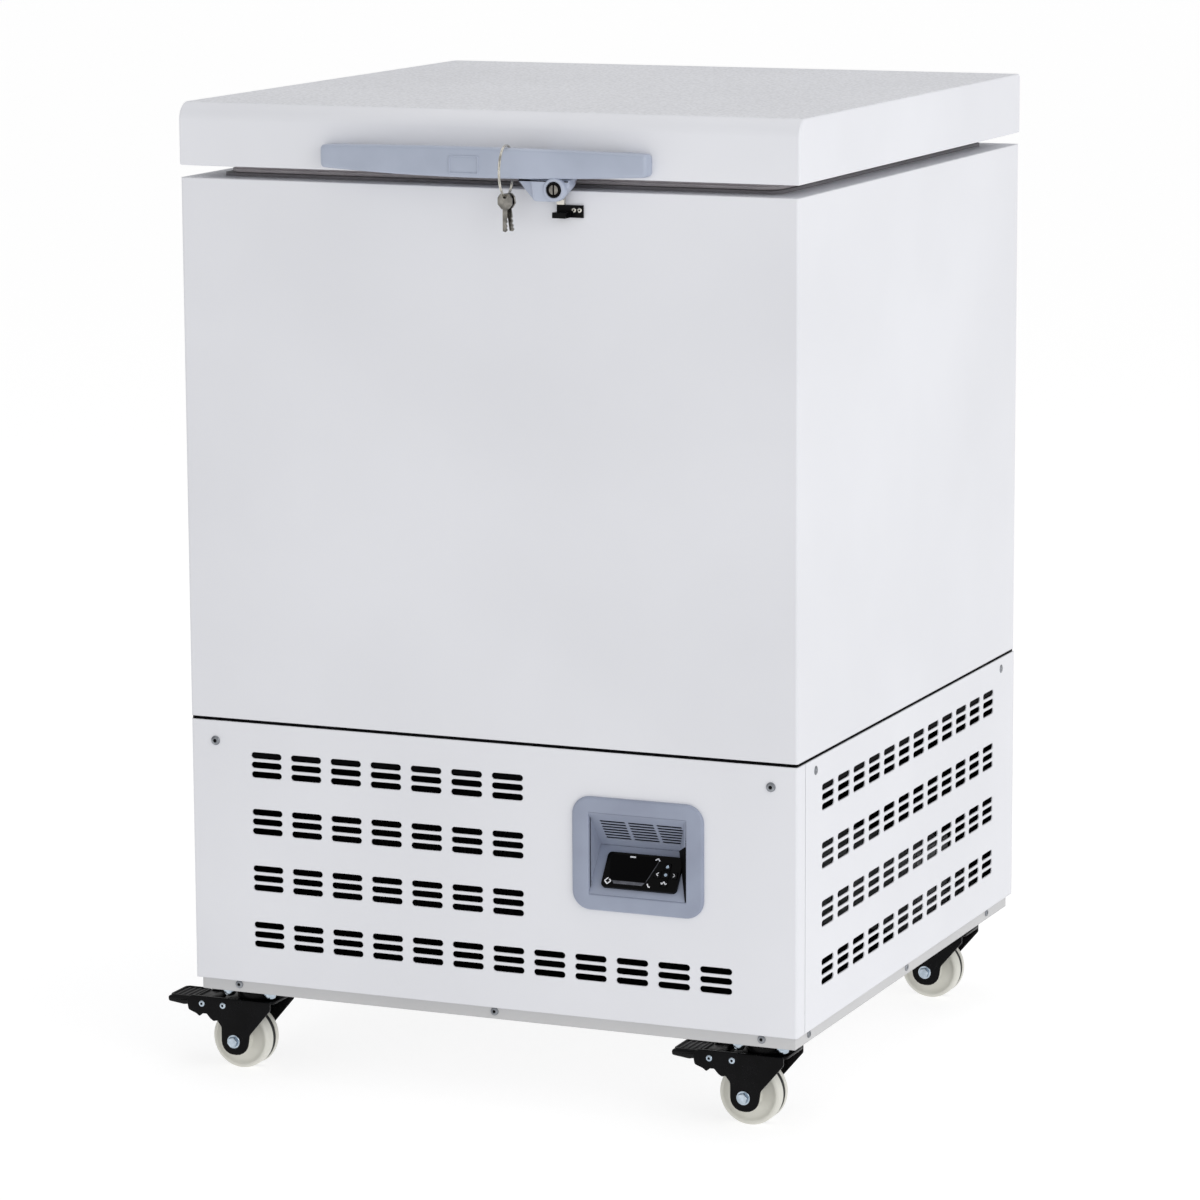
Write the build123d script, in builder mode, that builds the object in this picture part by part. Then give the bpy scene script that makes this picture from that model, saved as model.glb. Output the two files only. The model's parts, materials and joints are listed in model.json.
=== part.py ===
"""Chest-type ultra low temperature freezer on casters.

Millimetres. +Z is up, the front faces -Y, and +X is to the right seen from the front.
The origin is on the floor, under the middle of the cabinet.
"""

import os
from math import atan2, cos, degrees, hypot, radians, sin, sqrt

from build123d import *

os.makedirs("parts", exist_ok=True)

# Cabinet
cabinet_width = 600.0
cabinet_depth = 600.0
cabinet_height = 498.0
cabinet_corner = 2.5
sheet = 1.0
seam_gap = 3.0

# Cold chamber and its mouth
insulation = 100.0
chamber_height = 390.0
chamber_corner = 30.0
liner_wall = 1.0
liner_flange = 14.0
rim_inset = 28.0
rim_corner = 10.0
rim_land = 3.0
frame_lap = 6.0
frame_wall = 2.0
frame_skirt = 25.0

# Evaporator tube wound round the chamber
coil_turns = 3
coil_height = 8.0
coil_depth = 6.0
coil_gap = 0.2
coil_pitch = 110.0
coil_start = 40.0

# Lid
lid_gap = 11.0
lid_height = 57.0
lid_overhang = 1.0
lid_front_radius = 15.0
lid_flange = 24.0
lid_liner_wall = 2.0
lid_liner_lap = 10.0
plug_depth = 36.0
plug_clearance = 8.0
gasket_inset = 3.0
gasket_width = 22.0
gasket_clearance = 0.3

# Lid hinges, one at each side of the back
hinge_x = 180.0
hinge_reach = 14.0
hinge_plate = 3.0
hinge_plate_width = 60.0
hinge_plate_height = 44.0
hinge_plate_gap = 7.0
hinge_knuckle = 6.0
hinge_pin = 3.0
hinge_pin_clearance = 0.05
hinge_middle = 20.0
hinge_end_gap = 0.5

# Machine base
base_height = 246.0
pan_skirt = 12.0
pan_overlap = 20.0
pan_sheet = 1.5
pan_side_inset = 4.0
pan_front_inset = 6.0
panel_sheet = 1.2
panel_wrap = 19.5
panel_gap = 0.8
post_leg = 30.0
rail_height = 35.0
rail_flange = 30.0
rail_sheet = 2.5

# Ventilation slots of the base panels
slot_length = 31.0
slot_height = 6.0
slot_pitch = 9.0
slots_per_group = 3
group_pitch = 40.5
groups_per_row = 12
groups_per_short_row = 7
groups_per_rear_row = 4
row_pitch = 53.5
rows = 4
rows_rear = 3
first_row = 46.5

# Control bezel in the front panel
bezel_inset = 152.0
bezel_drop = 93.0
bezel_width = 127.0
bezel_height = 104.0
bezel_corner = 17.0
bezel_proud = 3.5
bezel_wall = 2.0
bezel_fit = 0.5
bezel_cut_margin = 6.0
recess_width = 94.0
recess_height = 75.0
recess_depth = 29.0
recess_crease = 40.0
louvre_length = 25.0
louvre_height = 2.1
louvre_pitch_x = 28.5
louvre_pitch_y = 3.9
louvre_columns = 3
louvre_rows = 7

# Temperature controller and its push keys
controller_width = 73.0
controller_height = 34.5
controller_corner = 4.0
controller_lip = 3.0
controller_body_width = 70.6
controller_body_height = 28.6
controller_body_depth = 38.0
controller_fit = 0.2
pad_x = 23.5
pad_y = -1.0
pad_spacing = 8.0
key_size = 6.4
key_clearance = 0.2
key_height = 2.0
key_proud = 0.8

# Lid handle
handle_x = 5.0
handle_up = 13.6
handle_length = 317.0
handle_end_height = 20.0
handle_mid_height = 27.0
handle_end_depth = 12.0
handle_mid_depth = 29.0
handle_thickness = 11.0
handle_foot = 26.0

# Lid lock under the handle
lock_x = 80.0
lock_up = 2.6
lock_radius = 6.75
lock_clearance = 0.05
lock_proud = 1.0
lock_length = 15.5
lock_slot_width = 1.4
lock_slot_length = 8.0
lock_slot_depth = 3.0
housing_left = 34.0
housing_right = 22.5
housing_low_left = 16.0
housing_low_right = 11.0
housing_drop = 19.5
housing_depth = 24.0
housing_corner = 4.0
housing_clearance = 2.5
housing_gap = 0.2
housing_back_depth = 10.0
housing_back_height = 22.0
bolt_width = 7.0
bolt_thickness = 4.0
bolt_length = 14.0
bolt_show = 3.0
bolt_travel = 9.0
bolt_clearance = 0.2
bolt_setback = 6.5
keeper_width = 25.0
keeper_height = 11.0
keeper_plate = 2.0
keeper_lip_width = 13.0
keeper_lip_height = 5.0
keeper_reach = 12.5
keeper_clearance = 0.8

# Key ring on the handle
ring_x = 35.0
ring_inner = 21.5
ring_wire = 1.6
ring_width = 2.4
ring_stand_off = 1.2
ring_clearance = 0.3
key_bow_radius = 7.0
key_bow_drop = 4.5
key_blade_width = 4.5
key_blade_length = 20.0
key_plate = 2.0
key_hole = 2.4
key_spread = 1.6
key_lean = 8.0

# Swivel casters
caster_height = 81.0
caster_side_inset = 43.5
caster_front_inset = 42.5
caster_rear_inset = 69.0
caster_trail = 14.0
wheel_radius = 29.0
wheel_tread = 24.0
wheel_hub_radius = 11.0
wheel_hub_clearance = 0.5
axle_radius = 4.0
running_clearance = 0.05
axle_head_across = 13.0
axle_head_height = 4.5
plate_length = 58.0
plate_width = 51.0
plate_thickness = 3.0
plate_corner = 8.0
race_radius = 20.0
race_height = 8.0
king_radius = 6.0
king_nut_across = 17.0
king_nut_height = 4.0
swivel_gap = 0.3
fork_width = 52.0
fork_sheet = 2.5
fork_half_length = 26.0
fork_corner = 10.0
fork_lobe_radius = 13.0
cheek_inner = 11.0
cheek_sheet = 2.5

# Foot brake of the front casters
pedal_pivot_back = 46.0
pedal_pivot_up = 60.0
pedal_pin = 2.5
pedal_hub = 5.5
pedal_side_gap = 1.0
pedal_reach = 92.0
pedal_neck = 58.0
pedal_width = 38.0
pedal_thickness = 5.0
pedal_turn = 16.0
shoe_gap = 0.4
shoe_tip = 2.0

# Refrigeration in the base
compressor_inset = 170.0
compressor_radius = 75.0
compressor_headroom = 58.5
compressor_dome = 22.0
foot_length = 190.0
foot_width = 90.0
foot_sheet = 3.0
foot_inset = 14.0
grommet_radius = 11.0
grommet_height = 18.0
stub_radius = 5.0
stub_height = 16.0
stub_offset = 35.0
condenser_inset = 50.0
condenser_side_room = 360.0
condenser_depth = 44.0
condenser_headroom = 67.5
condenser_up = 12.0
end_plate = 2.0
shroud_sheet = 2.0
shroud_ring_depth = 25.0
shroud_ring_wall = 2.0
fan_margin = 12.0
fan_tip_gap = 4.0
fan_blades = 5
fan_chord = 40.0
fan_blade_sheet = 2.0
fan_pitch = 32.0
fan_hub_radius = 18.0
fan_hub_depth = 20.0
fan_shaft = 3.0
fan_shaft_length = 12.0
motor_radius = 32.0
motor_length = 46.0
motor_gap = 2.0
motor_arm = 10.0
pipe_bend = 20.0
pipe_clearance = 8.0
drier_radius = 9.0
drier_length = 90.0
drier_stub_radius = 3.0
drier_stub_length = 15.0
drier_up = 30.0
capillary_radius = 2.0
capillary_run = 28.0
electrical_inset = 110.0
electrical_length = 130.0
electrical_width = 90.0
electrical_height = 80.0
electrical_sheet = 1.5
inlet_inset = 100.0
inlet_up = 60.0
inlet_width = 28.0
inlet_height = 20.0
inlet_depth = 20.0
inlet_wall = 2.0
inlet_flange = 6.0
inlet_fit = 0.4

# Levels and planes that follow from the sizes above
front = -cabinet_depth / 2
back = cabinet_depth / 2
half_width = cabinet_width / 2
pan_z = caster_height
floor_z = pan_z + pan_sheet
base_z = pan_z + pan_skirt
cabinet_z = base_z + base_height + seam_gap
rim_z = cabinet_z + cabinet_height
land_z = rim_z + rim_land
lid_z = rim_z + lid_gap
lid_width = cabinet_width + 2 * lid_overhang
chamber_width = cabinet_width - 2 * insulation
chamber_depth = cabinet_depth - 2 * insulation
liner_z = rim_z - chamber_height - liner_wall
liner_width = chamber_width + 2 * liner_wall
liner_depth = chamber_depth + 2 * liner_wall
liner_corner = chamber_corner + liner_wall
frame_width = cabinet_width - 2 * rim_inset
frame_depth = cabinet_depth - 2 * rim_inset
bezel_x = half_width - bezel_inset
compressor_x = compressor_inset - half_width
condenser_length = cabinet_width - condenser_side_room
condenser_x = condenser_inset + condenser_length / 2 - half_width
electrical_x = half_width - electrical_inset
electrical_y = back - electrical_inset
inlet_x = half_width - inlet_inset
caster_x = half_width - caster_side_inset
discharge_x = compressor_x - stub_offset
suction_x = compressor_x + stub_offset
drier_start = condenser_x + condenser_length / 2 + end_plate
drier_end = drier_start + drier_length + 2 * drier_stub_length
capillary_x = drier_end + capillary_run


def level(z, x=0.0, y=0.0):
    """Horizontal plane, seen from above."""
    return Plane((x, y, z))


def facing_front(y, x=0.0, z=0.0):
    """Upright plane with its normal to the front: local x is X, local y is Z."""
    return Plane((x, y, z), x_dir=(1, 0, 0), z_dir=(0, -1, 0))


def facing_right(x, y=0.0, z=0.0):
    """Upright plane with its normal to the right: local x is Y, local y is Z."""
    return Plane((x, y, z), x_dir=(0, 1, 0), z_dir=(1, 0, 0))


def keep(piece, name):
    """Label a finished piece and write it."""
    piece.part.label = name
    export_step(piece.part, f"parts/{name}.step")


# Outer skin of the cabinet, folded in at the top
with BuildPart() as outer_shell:
    with BuildSketch(level(cabinet_z)):
        RectangleRounded(cabinet_width, cabinet_depth, cabinet_corner)
    extrude(amount=cabinet_height)
    with BuildSketch(level(cabinet_z + sheet)):
        RectangleRounded(cabinet_width - 2 * sheet, cabinet_depth - 2 * sheet, cabinet_corner - sheet)
    extrude(amount=cabinet_height - 2 * sheet, mode=Mode.SUBTRACT)
    with BuildSketch(level(rim_z - sheet)):
        Rectangle(frame_width - 2 * frame_lap, frame_depth - 2 * frame_lap)
    extrude(amount=sheet, mode=Mode.SUBTRACT)
keep(outer_shell, "outer_shell")

# Stainless chamber liner with a flange that lies on the foam
with BuildPart() as inner_liner:
    with BuildSketch(level(liner_z)):
        RectangleRounded(liner_width, liner_depth, liner_corner)
    extrude(amount=chamber_height + liner_wall)
    with BuildSketch(level(rim_z - liner_wall)):
        RectangleRounded(
            liner_width + 2 * liner_flange, liner_depth + 2 * liner_flange, liner_corner + liner_flange
        )
    extrude(amount=liner_wall)
    with BuildSketch(level(liner_z + liner_wall)):
        RectangleRounded(chamber_width, chamber_depth, chamber_corner)
    extrude(amount=chamber_height, mode=Mode.SUBTRACT)
keep(inner_liner, "inner_liner")

# Evaporator: flat tube rings round the liner, joined by risers, with two tails to the base
coil_inner = coil_gap
coil_outer = coil_gap + coil_depth
coil_z = liner_z + liner_wall + coil_start
coil_y = liner_depth / 2 + coil_gap + coil_depth / 2
coil_top = coil_z + (coil_turns - 1) * coil_pitch + coil_height
with BuildPart() as evaporator_coil:
    for turn in range(coil_turns):
        with BuildSketch(level(coil_z + turn * coil_pitch)):
            RectangleRounded(
                liner_width + 2 * coil_outer, liner_depth + 2 * coil_outer, liner_corner + coil_outer
            )
            RectangleRounded(
                liner_width + 2 * coil_inner,
                liner_depth + 2 * coil_inner,
                liner_corner + coil_inner,
                mode=Mode.SUBTRACT,
            )
        extrude(amount=coil_height)
    with BuildSketch(level(coil_z)):
        with Locations((0, coil_y)):
            Rectangle(coil_height, coil_depth)
    extrude(amount=coil_top - coil_z)
    with BuildSketch(level(cabinet_z + sheet)):
        with Locations((suction_x, coil_y), (capillary_x, -coil_y)):
            Rectangle(coil_height, coil_depth)
    extrude(amount=coil_z - cabinet_z - sheet)
keep(evaporator_coil, "evaporator_coil")

# Foam between the skin and the chamber
with BuildPart() as foam_body:
    with BuildSketch(level(cabinet_z + sheet)):
        RectangleRounded(cabinet_width - 2 * sheet, cabinet_depth - 2 * sheet, cabinet_corner - sheet)
    extrude(amount=cabinet_height - 2 * sheet)
    with BuildSketch(level(rim_z - sheet)):
        Rectangle(frame_width - 2 * frame_lap, frame_depth - 2 * frame_lap)
    extrude(amount=sheet)
    with BuildSketch(level(rim_z - liner_wall)):
        RectangleRounded(
            liner_width + 2 * liner_flange, liner_depth + 2 * liner_flange, liner_corner + liner_flange
        )
    extrude(amount=liner_wall, mode=Mode.SUBTRACT)
    with BuildSketch(level(liner_z)):
        RectangleRounded(
            liner_width + 2 * coil_outer, liner_depth + 2 * coil_outer, liner_corner + coil_outer
        )
    extrude(amount=rim_z - liner_z, mode=Mode.SUBTRACT)
    with BuildSketch(level(cabinet_z + sheet)):
        with Locations((suction_x, coil_y), (capillary_x, -coil_y)):
            Rectangle(coil_height, coil_depth)
    extrude(amount=liner_z - cabinet_z - sheet, mode=Mode.SUBTRACT)
keep(foam_body, "foam_body")

# Plastic mouth frame that laps the skin and covers the liner's edge
mouth_width = chamber_width - 2 * frame_wall
mouth_depth = chamber_depth - 2 * frame_wall
mouth_corner = chamber_corner - frame_wall
with BuildPart() as mouth_frame:
    with BuildSketch(level(rim_z)):
        RectangleRounded(frame_width, frame_depth, rim_corner)
    extrude(amount=rim_land)
    with BuildSketch(level(rim_z - frame_skirt)):
        RectangleRounded(chamber_width, chamber_depth, chamber_corner)
    extrude(amount=frame_skirt)
    with BuildSketch(level(rim_z - frame_skirt)):
        RectangleRounded(mouth_width, mouth_depth, mouth_corner)
    extrude(amount=frame_skirt + rim_land, mode=Mode.SUBTRACT)
keep(mouth_frame, "mouth_frame")


def lid_profile(inset, lower):
    """Lid section seen from the right, set in from the skin, with its own lower edge."""
    depth = cabinet_depth - 2 * inset
    upper = lid_z + lid_height - inset
    with BuildSketch(facing_right(-lid_width / 2 + inset)) as section:
        with Locations((0, (lower + upper) / 2)):
            Rectangle(depth, upper - lower)
        fillet(section.vertices().group_by(Axis.X)[0].sort_by(Axis.Y)[-1], lid_front_radius - inset)
    return section.sketch


# Outer skin of the lid with a large front radius and a folded lower edge
with BuildPart() as lid_shell:
    extrude(lid_profile(0.0, lid_z), amount=lid_width)
    extrude(lid_profile(sheet, lid_z + sheet), amount=lid_width - 2 * sheet, mode=Mode.SUBTRACT)
    with BuildSketch(level(lid_z)):
        Rectangle(lid_width - 2 * lid_flange, cabinet_depth - 2 * lid_flange)
    extrude(amount=sheet, mode=Mode.SUBTRACT)
keep(lid_shell, "lid_shell")

# Inner cover of the lid, moulded with a plug that enters the mouth
cover_z = lid_z + sheet
plug_z = lid_z - plug_depth
plug_width = mouth_width - 2 * plug_clearance
plug_length = mouth_depth - 2 * plug_clearance
plug_corner = mouth_corner - plug_clearance
with BuildPart() as lid_liner:
    with BuildSketch(level(cover_z)):
        Rectangle(
            lid_width - 2 * lid_flange + 2 * lid_liner_lap, cabinet_depth - 2 * lid_flange + 2 * lid_liner_lap
        )
    extrude(amount=lid_liner_wall)
    with BuildSketch(level(plug_z)):
        RectangleRounded(plug_width, plug_length, plug_corner)
    extrude(amount=cover_z - plug_z)
    with BuildSketch(level(plug_z + lid_liner_wall)):
        RectangleRounded(
            plug_width - 2 * lid_liner_wall, plug_length - 2 * lid_liner_wall, plug_corner - lid_liner_wall
        )
    extrude(amount=cover_z - plug_z, mode=Mode.SUBTRACT)
keep(lid_liner, "lid_liner")

# Foam inside the lid and its plug
with BuildPart() as lid_foam:
    extrude(lid_profile(sheet, cover_z + lid_liner_wall), amount=lid_width - 2 * sheet)
    with BuildSketch(level(plug_z + lid_liner_wall)):
        RectangleRounded(
            plug_width - 2 * lid_liner_wall, plug_length - 2 * lid_liner_wall, plug_corner - lid_liner_wall
        )
    extrude(amount=cover_z - plug_z)
keep(lid_foam, "lid_foam")

# Sealing gasket under the lid
gasket_outer_width = frame_width - 2 * gasket_inset
gasket_outer_depth = frame_depth - 2 * gasket_inset
with BuildPart() as lid_gasket:
    with BuildSketch(level(land_z + gasket_clearance)):
        RectangleRounded(gasket_outer_width, gasket_outer_depth, rim_corner)
        Rectangle(
            gasket_outer_width - 2 * gasket_width, gasket_outer_depth - 2 * gasket_width, mode=Mode.SUBTRACT
        )
    extrude(amount=cover_z - land_z - gasket_clearance)
keep(lid_gasket, "lid_gasket")

# Lid hinges: a cabinet bracket with two knuckles and the pin, and a lid bracket with one knuckle
hinge_y = back + hinge_reach
hinge_z = rim_z + lid_gap / 2
knuckle_end = (hinge_plate_width - hinge_middle - 2 * hinge_end_gap) / 2


def hinge_bracket(x, length, plate_low, plate_high, web_low, web_high):
    """Plate on the back, with a web that wraps into a knuckle on the hinge line."""
    with BuildSketch(facing_right(x)) as web:
        with Locations((back + hinge_plate / 2, (web_low + web_high) / 2)):
            Rectangle(hinge_plate, web_high - web_low)
        with Locations((hinge_y, hinge_z)):
            Circle(hinge_knuckle)
        make_hull()
        with Locations((back + hinge_plate / 2, (plate_low + plate_high) / 2)):
            Rectangle(hinge_plate, plate_high - plate_low)
    extrude(web.sketch, amount=length)


web_height = 2 * hinge_knuckle
base_high = rim_z - hinge_plate_gap
base_low = base_high - hinge_plate_height
arm_low = lid_z + hinge_plate_gap
arm_high = arm_low + hinge_plate_height
with BuildPart() as hinge_bases:
    for centre_x in (-hinge_x, hinge_x):
        start_x = centre_x - hinge_plate_width / 2
        for knuckle_x in (start_x, start_x + hinge_plate_width - knuckle_end):
            hinge_bracket(knuckle_x, knuckle_end, base_low, base_high, base_high - web_height, base_high)
        with BuildSketch(facing_right(start_x)):
            with Locations((back + hinge_plate / 2, base_high - hinge_plate_height / 2)):
                Rectangle(hinge_plate, hinge_plate_height)
        extrude(amount=hinge_plate_width)
        with BuildSketch(facing_right(start_x)):
            with Locations((hinge_y, hinge_z)):
                Circle(hinge_pin)
        extrude(amount=hinge_plate_width)
keep(hinge_bases, "hinge_bases")

with BuildPart() as hinge_arms:
    for centre_x in (-hinge_x, hinge_x):
        start_x = centre_x - hinge_plate_width / 2
        knuckle_x = centre_x - hinge_middle / 2
        hinge_bracket(knuckle_x, hinge_middle, arm_low, arm_high, arm_low, arm_low + web_height)
        with BuildSketch(facing_right(start_x)):
            with Locations((back + hinge_plate / 2, arm_low + hinge_plate_height / 2)):
                Rectangle(hinge_plate, hinge_plate_height)
        extrude(amount=hinge_plate_width)
        with BuildSketch(facing_right(start_x)):
            with Locations((hinge_y, hinge_z)):
                Circle(hinge_pin + hinge_pin_clearance)
        extrude(amount=hinge_plate_width, mode=Mode.SUBTRACT)
keep(hinge_arms, "hinge_arms")

# Base pan: a tray that carries the machine and the casters
pan_width = cabinet_width - 2 * pan_side_inset
pan_depth = cabinet_depth - 2 * pan_front_inset
pan_height = pan_skirt + pan_overlap
with BuildPart() as base_pan:
    with BuildSketch(level(pan_z)):
        Rectangle(pan_width, pan_depth)
    extrude(amount=pan_height)
    with BuildSketch(level(floor_z)):
        Rectangle(pan_width - 2 * pan_sheet, pan_depth - 2 * pan_sheet)
    extrude(amount=pan_height, mode=Mode.SUBTRACT)
keep(base_pan, "base_pan")

# Welded frame: angle posts on the pan and an angle rail under the cabinet
post_width = pan_width - 2 * pan_sheet
post_depth = pan_depth - 2 * pan_sheet
rail_width = cabinet_width - 2 * panel_sheet
rail_depth = cabinet_depth - 2 * panel_sheet
with BuildPart() as base_frame:
    with BuildSketch(level(floor_z)):
        Rectangle(post_width, post_depth)
        Rectangle(post_width - 2 * rail_sheet, post_depth - 2 * rail_sheet, mode=Mode.SUBTRACT)
        Rectangle(post_width - 2 * post_leg, post_depth, mode=Mode.SUBTRACT)
        Rectangle(post_width, post_depth - 2 * post_leg, mode=Mode.SUBTRACT)
    extrude(amount=cabinet_z - floor_z)
    with BuildSketch(level(cabinet_z - rail_height)):
        Rectangle(rail_width, rail_depth)
        Rectangle(rail_width - 2 * rail_sheet, rail_depth - 2 * rail_sheet, mode=Mode.SUBTRACT)
    extrude(amount=rail_height)
    with BuildSketch(level(cabinet_z - rail_sheet)):
        Rectangle(rail_width, rail_depth)
        Rectangle(rail_width - 2 * rail_flange, rail_depth - 2 * rail_flange, mode=Mode.SUBTRACT)
    extrude(amount=rail_sheet)
keep(base_frame, "base_frame")


def slot_row(row, first_x, groups, mode=Mode.SUBTRACT):
    """One row of slot groups, starting at the centre of the first group, in the current sketch."""
    with Locations((first_x + (groups - 1) * group_pitch / 2, base_z + first_row + row * row_pitch)):
        with GridLocations(group_pitch, slot_pitch, groups, slots_per_group):
            Rectangle(slot_length, slot_height, mode=mode)


panel_middle = base_z + base_height / 2
first_group = -(groups_per_row - 1) * group_pitch / 2
bezel_z = base_z + base_height - bezel_drop
cut_width = recess_width + 2 * bezel_wall + 2 * bezel_fit
cut_height = recess_height + 2 * bezel_cut_margin

# Front panel, folded round both corners and in at its lower edge
with BuildPart() as front_panel:
    with BuildSketch(level(base_z)):
        with Locations((0, front + panel_wrap / 2)):
            Rectangle(cabinet_width, panel_wrap)
        with Locations((0, front + panel_sheet + panel_wrap / 2)):
            Rectangle(cabinet_width - 2 * panel_sheet, panel_wrap, mode=Mode.SUBTRACT)
    extrude(amount=base_height)
    with BuildSketch(level(base_z)):
        with Locations((0, front + (panel_sheet + pan_front_inset) / 2)):
            Rectangle(cabinet_width - 2 * panel_sheet, pan_front_inset - panel_sheet)
    extrude(amount=panel_sheet)
    with BuildSketch(facing_front(front)):
        with Locations((bezel_x, bezel_z)):
            Rectangle(cut_width, cut_height)
        for row in range(rows):
            slot_row(row, first_group, groups_per_row if row == 0 else groups_per_short_row, Mode.ADD)
    extrude(amount=-panel_sheet, mode=Mode.SUBTRACT)
keep(front_panel, "front_panel")

# Side panels between the front panel's folds and the back
side_start = front + panel_wrap + panel_gap
side_depth = back - side_start
return_depth = side_depth - panel_sheet
return_x = half_width - (panel_sheet + pan_side_inset) / 2
for side, sign in (("left", -1), ("right", 1)):
    with BuildPart() as side_panel:
        with BuildSketch(facing_right(sign * half_width)):
            with Locations((side_start + side_depth / 2, panel_middle)):
                Rectangle(side_depth, base_height)
            for row in range(rows):
                slot_row(row, first_group, groups_per_row)
        extrude(amount=-sign * panel_sheet)
        with BuildSketch(level(base_z)):
            with Locations((sign * return_x, side_start + return_depth / 2)):
                Rectangle(pan_side_inset - panel_sheet, return_depth)
        extrude(amount=panel_sheet)
    keep(side_panel, f"{side}_panel")

# Rear panel between the side panels, with an air outlet and the inlet's cut-out
inlet_z = base_z + inlet_up
rear_width = cabinet_width - 2 * panel_sheet - 2 * inlet_fit
with BuildPart() as rear_panel:
    with BuildSketch(facing_front(back)):
        with Locations((0, panel_middle)):
            Rectangle(rear_width, base_height)
        for row in range(rows_rear):
            slot_row(row, first_group + group_pitch, groups_per_rear_row)
        with Locations((inlet_x, inlet_z)):
            Rectangle(inlet_width + 2 * inlet_fit, inlet_height + 2 * inlet_fit, mode=Mode.SUBTRACT)
    extrude(amount=panel_sheet)
    with BuildSketch(level(base_z)):
        with Locations((0, back - (panel_sheet + pan_front_inset) / 2)):
            Rectangle(pan_width, pan_front_inset - panel_sheet)
    extrude(amount=panel_sheet)
keep(rear_panel, "rear_panel")

# Power inlet socket in the rear panel
with BuildPart() as power_inlet:
    with BuildSketch(facing_front(back - inlet_depth)):
        with Locations((inlet_x, inlet_z)):
            Rectangle(inlet_width, inlet_height)
    extrude(amount=-inlet_depth - inlet_wall)
    with BuildSketch(facing_front(back)):
        with Locations((inlet_x, inlet_z)):
            Rectangle(inlet_width + 2 * inlet_flange, inlet_height + inlet_flange)
    extrude(amount=-inlet_wall)
    with BuildSketch(facing_front(back - inlet_depth + inlet_wall)):
        with Locations((inlet_x, inlet_z)):
            Rectangle(inlet_width - 2 * inlet_wall, inlet_height - 2 * inlet_wall)
    extrude(amount=-inlet_depth, mode=Mode.SUBTRACT)
keep(power_inlet, "power_inlet")

# Control bezel: a rounded frame round a V-shaped recess, louvred above
bezel_front = front - bezel_proud
recess_low = bezel_z - recess_height / 2
recess_high = bezel_z + recess_height / 2
crease_y = bezel_front + recess_depth
crease_z = recess_low + recess_crease
upper_run = hypot(recess_depth, recess_high - crease_z)
lower_run = hypot(recess_depth, recess_crease)
upper_plane = Plane(
    (bezel_x, (bezel_front + crease_y) / 2, (recess_high + crease_z) / 2),
    x_dir=(1, 0, 0),
    z_dir=(0, -(recess_high - crease_z) / upper_run, -recess_depth / upper_run),
)
lower_plane = Plane(
    (bezel_x, (bezel_front + crease_y) / 2, (recess_low + crease_z) / 2),
    x_dir=(1, 0, 0),
    z_dir=(0, -recess_crease / lower_run, recess_depth / lower_run),
)
with BuildPart() as control_bezel:
    with BuildSketch(facing_right(bezel_x - recess_width / 2 - bezel_wall)):
        with BuildLine():
            Polyline((bezel_front, recess_low), (crease_y, crease_z), (bezel_front, recess_high), close=True)
        make_face()
        offset(amount=bezel_wall, kind=Kind.INTERSECTION)
    extrude(amount=recess_width + 2 * bezel_wall)
    with BuildSketch(facing_front(front)):
        with Locations((bezel_x, bezel_z)):
            Rectangle(bezel_width, bezel_height)
    extrude(amount=recess_depth, mode=Mode.SUBTRACT)
    with BuildSketch(facing_front(front)):
        with Locations((bezel_x, bezel_z)):
            RectangleRounded(bezel_width, bezel_height, bezel_corner)
    extrude(amount=bezel_proud)
    with BuildSketch(facing_right(bezel_x - recess_width / 2)):
        with BuildLine():
            Polyline((bezel_front, recess_low), (crease_y, crease_z), (bezel_front, recess_high), close=True)
        make_face()
    extrude(amount=recess_width, mode=Mode.SUBTRACT)
    with BuildSketch(upper_plane):
        with GridLocations(louvre_pitch_x, louvre_pitch_y, louvre_columns, louvre_rows):
            Rectangle(louvre_length, louvre_height)
    extrude(amount=-2 * bezel_wall, mode=Mode.SUBTRACT)
    with BuildSketch(lower_plane):
        Rectangle(controller_body_width + 2 * controller_fit, controller_body_height + 2 * controller_fit)
    extrude(amount=-2 * bezel_wall, mode=Mode.SUBTRACT)
keep(control_bezel, "control_bezel")

# Temperature controller on the recess's lower face, and its five push keys
key_places = {
    "set": (pad_x, pad_y),
    "up": (pad_x, pad_y + pad_spacing),
    "down": (pad_x, pad_y - pad_spacing),
    "left": (pad_x - pad_spacing, pad_y),
    "right": (pad_x + pad_spacing, pad_y),
}
key_floor = controller_lip + key_proud - key_height
key_well = key_floor - key_proud
with BuildPart() as controller_case:
    with BuildSketch(lower_plane):
        RectangleRounded(controller_width, controller_height, controller_corner)
    extrude(amount=controller_lip)
    with BuildSketch(lower_plane):
        Rectangle(controller_body_width, controller_body_height)
    extrude(amount=-controller_body_depth)
    with BuildSketch(lower_plane.offset(key_well)):
        with Locations(*key_places.values()):
            Rectangle(key_size + 2 * key_clearance, key_size + 2 * key_clearance)
    extrude(amount=controller_lip, mode=Mode.SUBTRACT)
keep(controller_case, "controller_case")

for place, centre in key_places.items():
    with BuildPart() as push_key:
        with BuildSketch(lower_plane.offset(key_floor)):
            with Locations(centre):
                Rectangle(key_size, key_size)
        extrude(amount=key_height)
    keep(push_key, f"push_key_{place}")

# Bowed lid handle with a finger gap behind it
handle_z = lid_z + handle_up
handle_left = handle_x - handle_length / 2
handle_right = handle_x + handle_length / 2
handle_low = handle_z - handle_mid_height / 2
bow_rise = handle_mid_depth - handle_end_depth
bow_radius = (handle_length**2 / 4 + bow_rise**2) / (2 * bow_rise)
grip_radius = bow_radius - handle_thickness
grip_half = handle_length / 2 - handle_foot


def bow_y(radius, x):
    """Depth of an arc of the handle's plan, concentric with its front face."""
    return front - handle_mid_depth + bow_radius - sqrt(radius**2 - (x - handle_x) ** 2)


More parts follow.
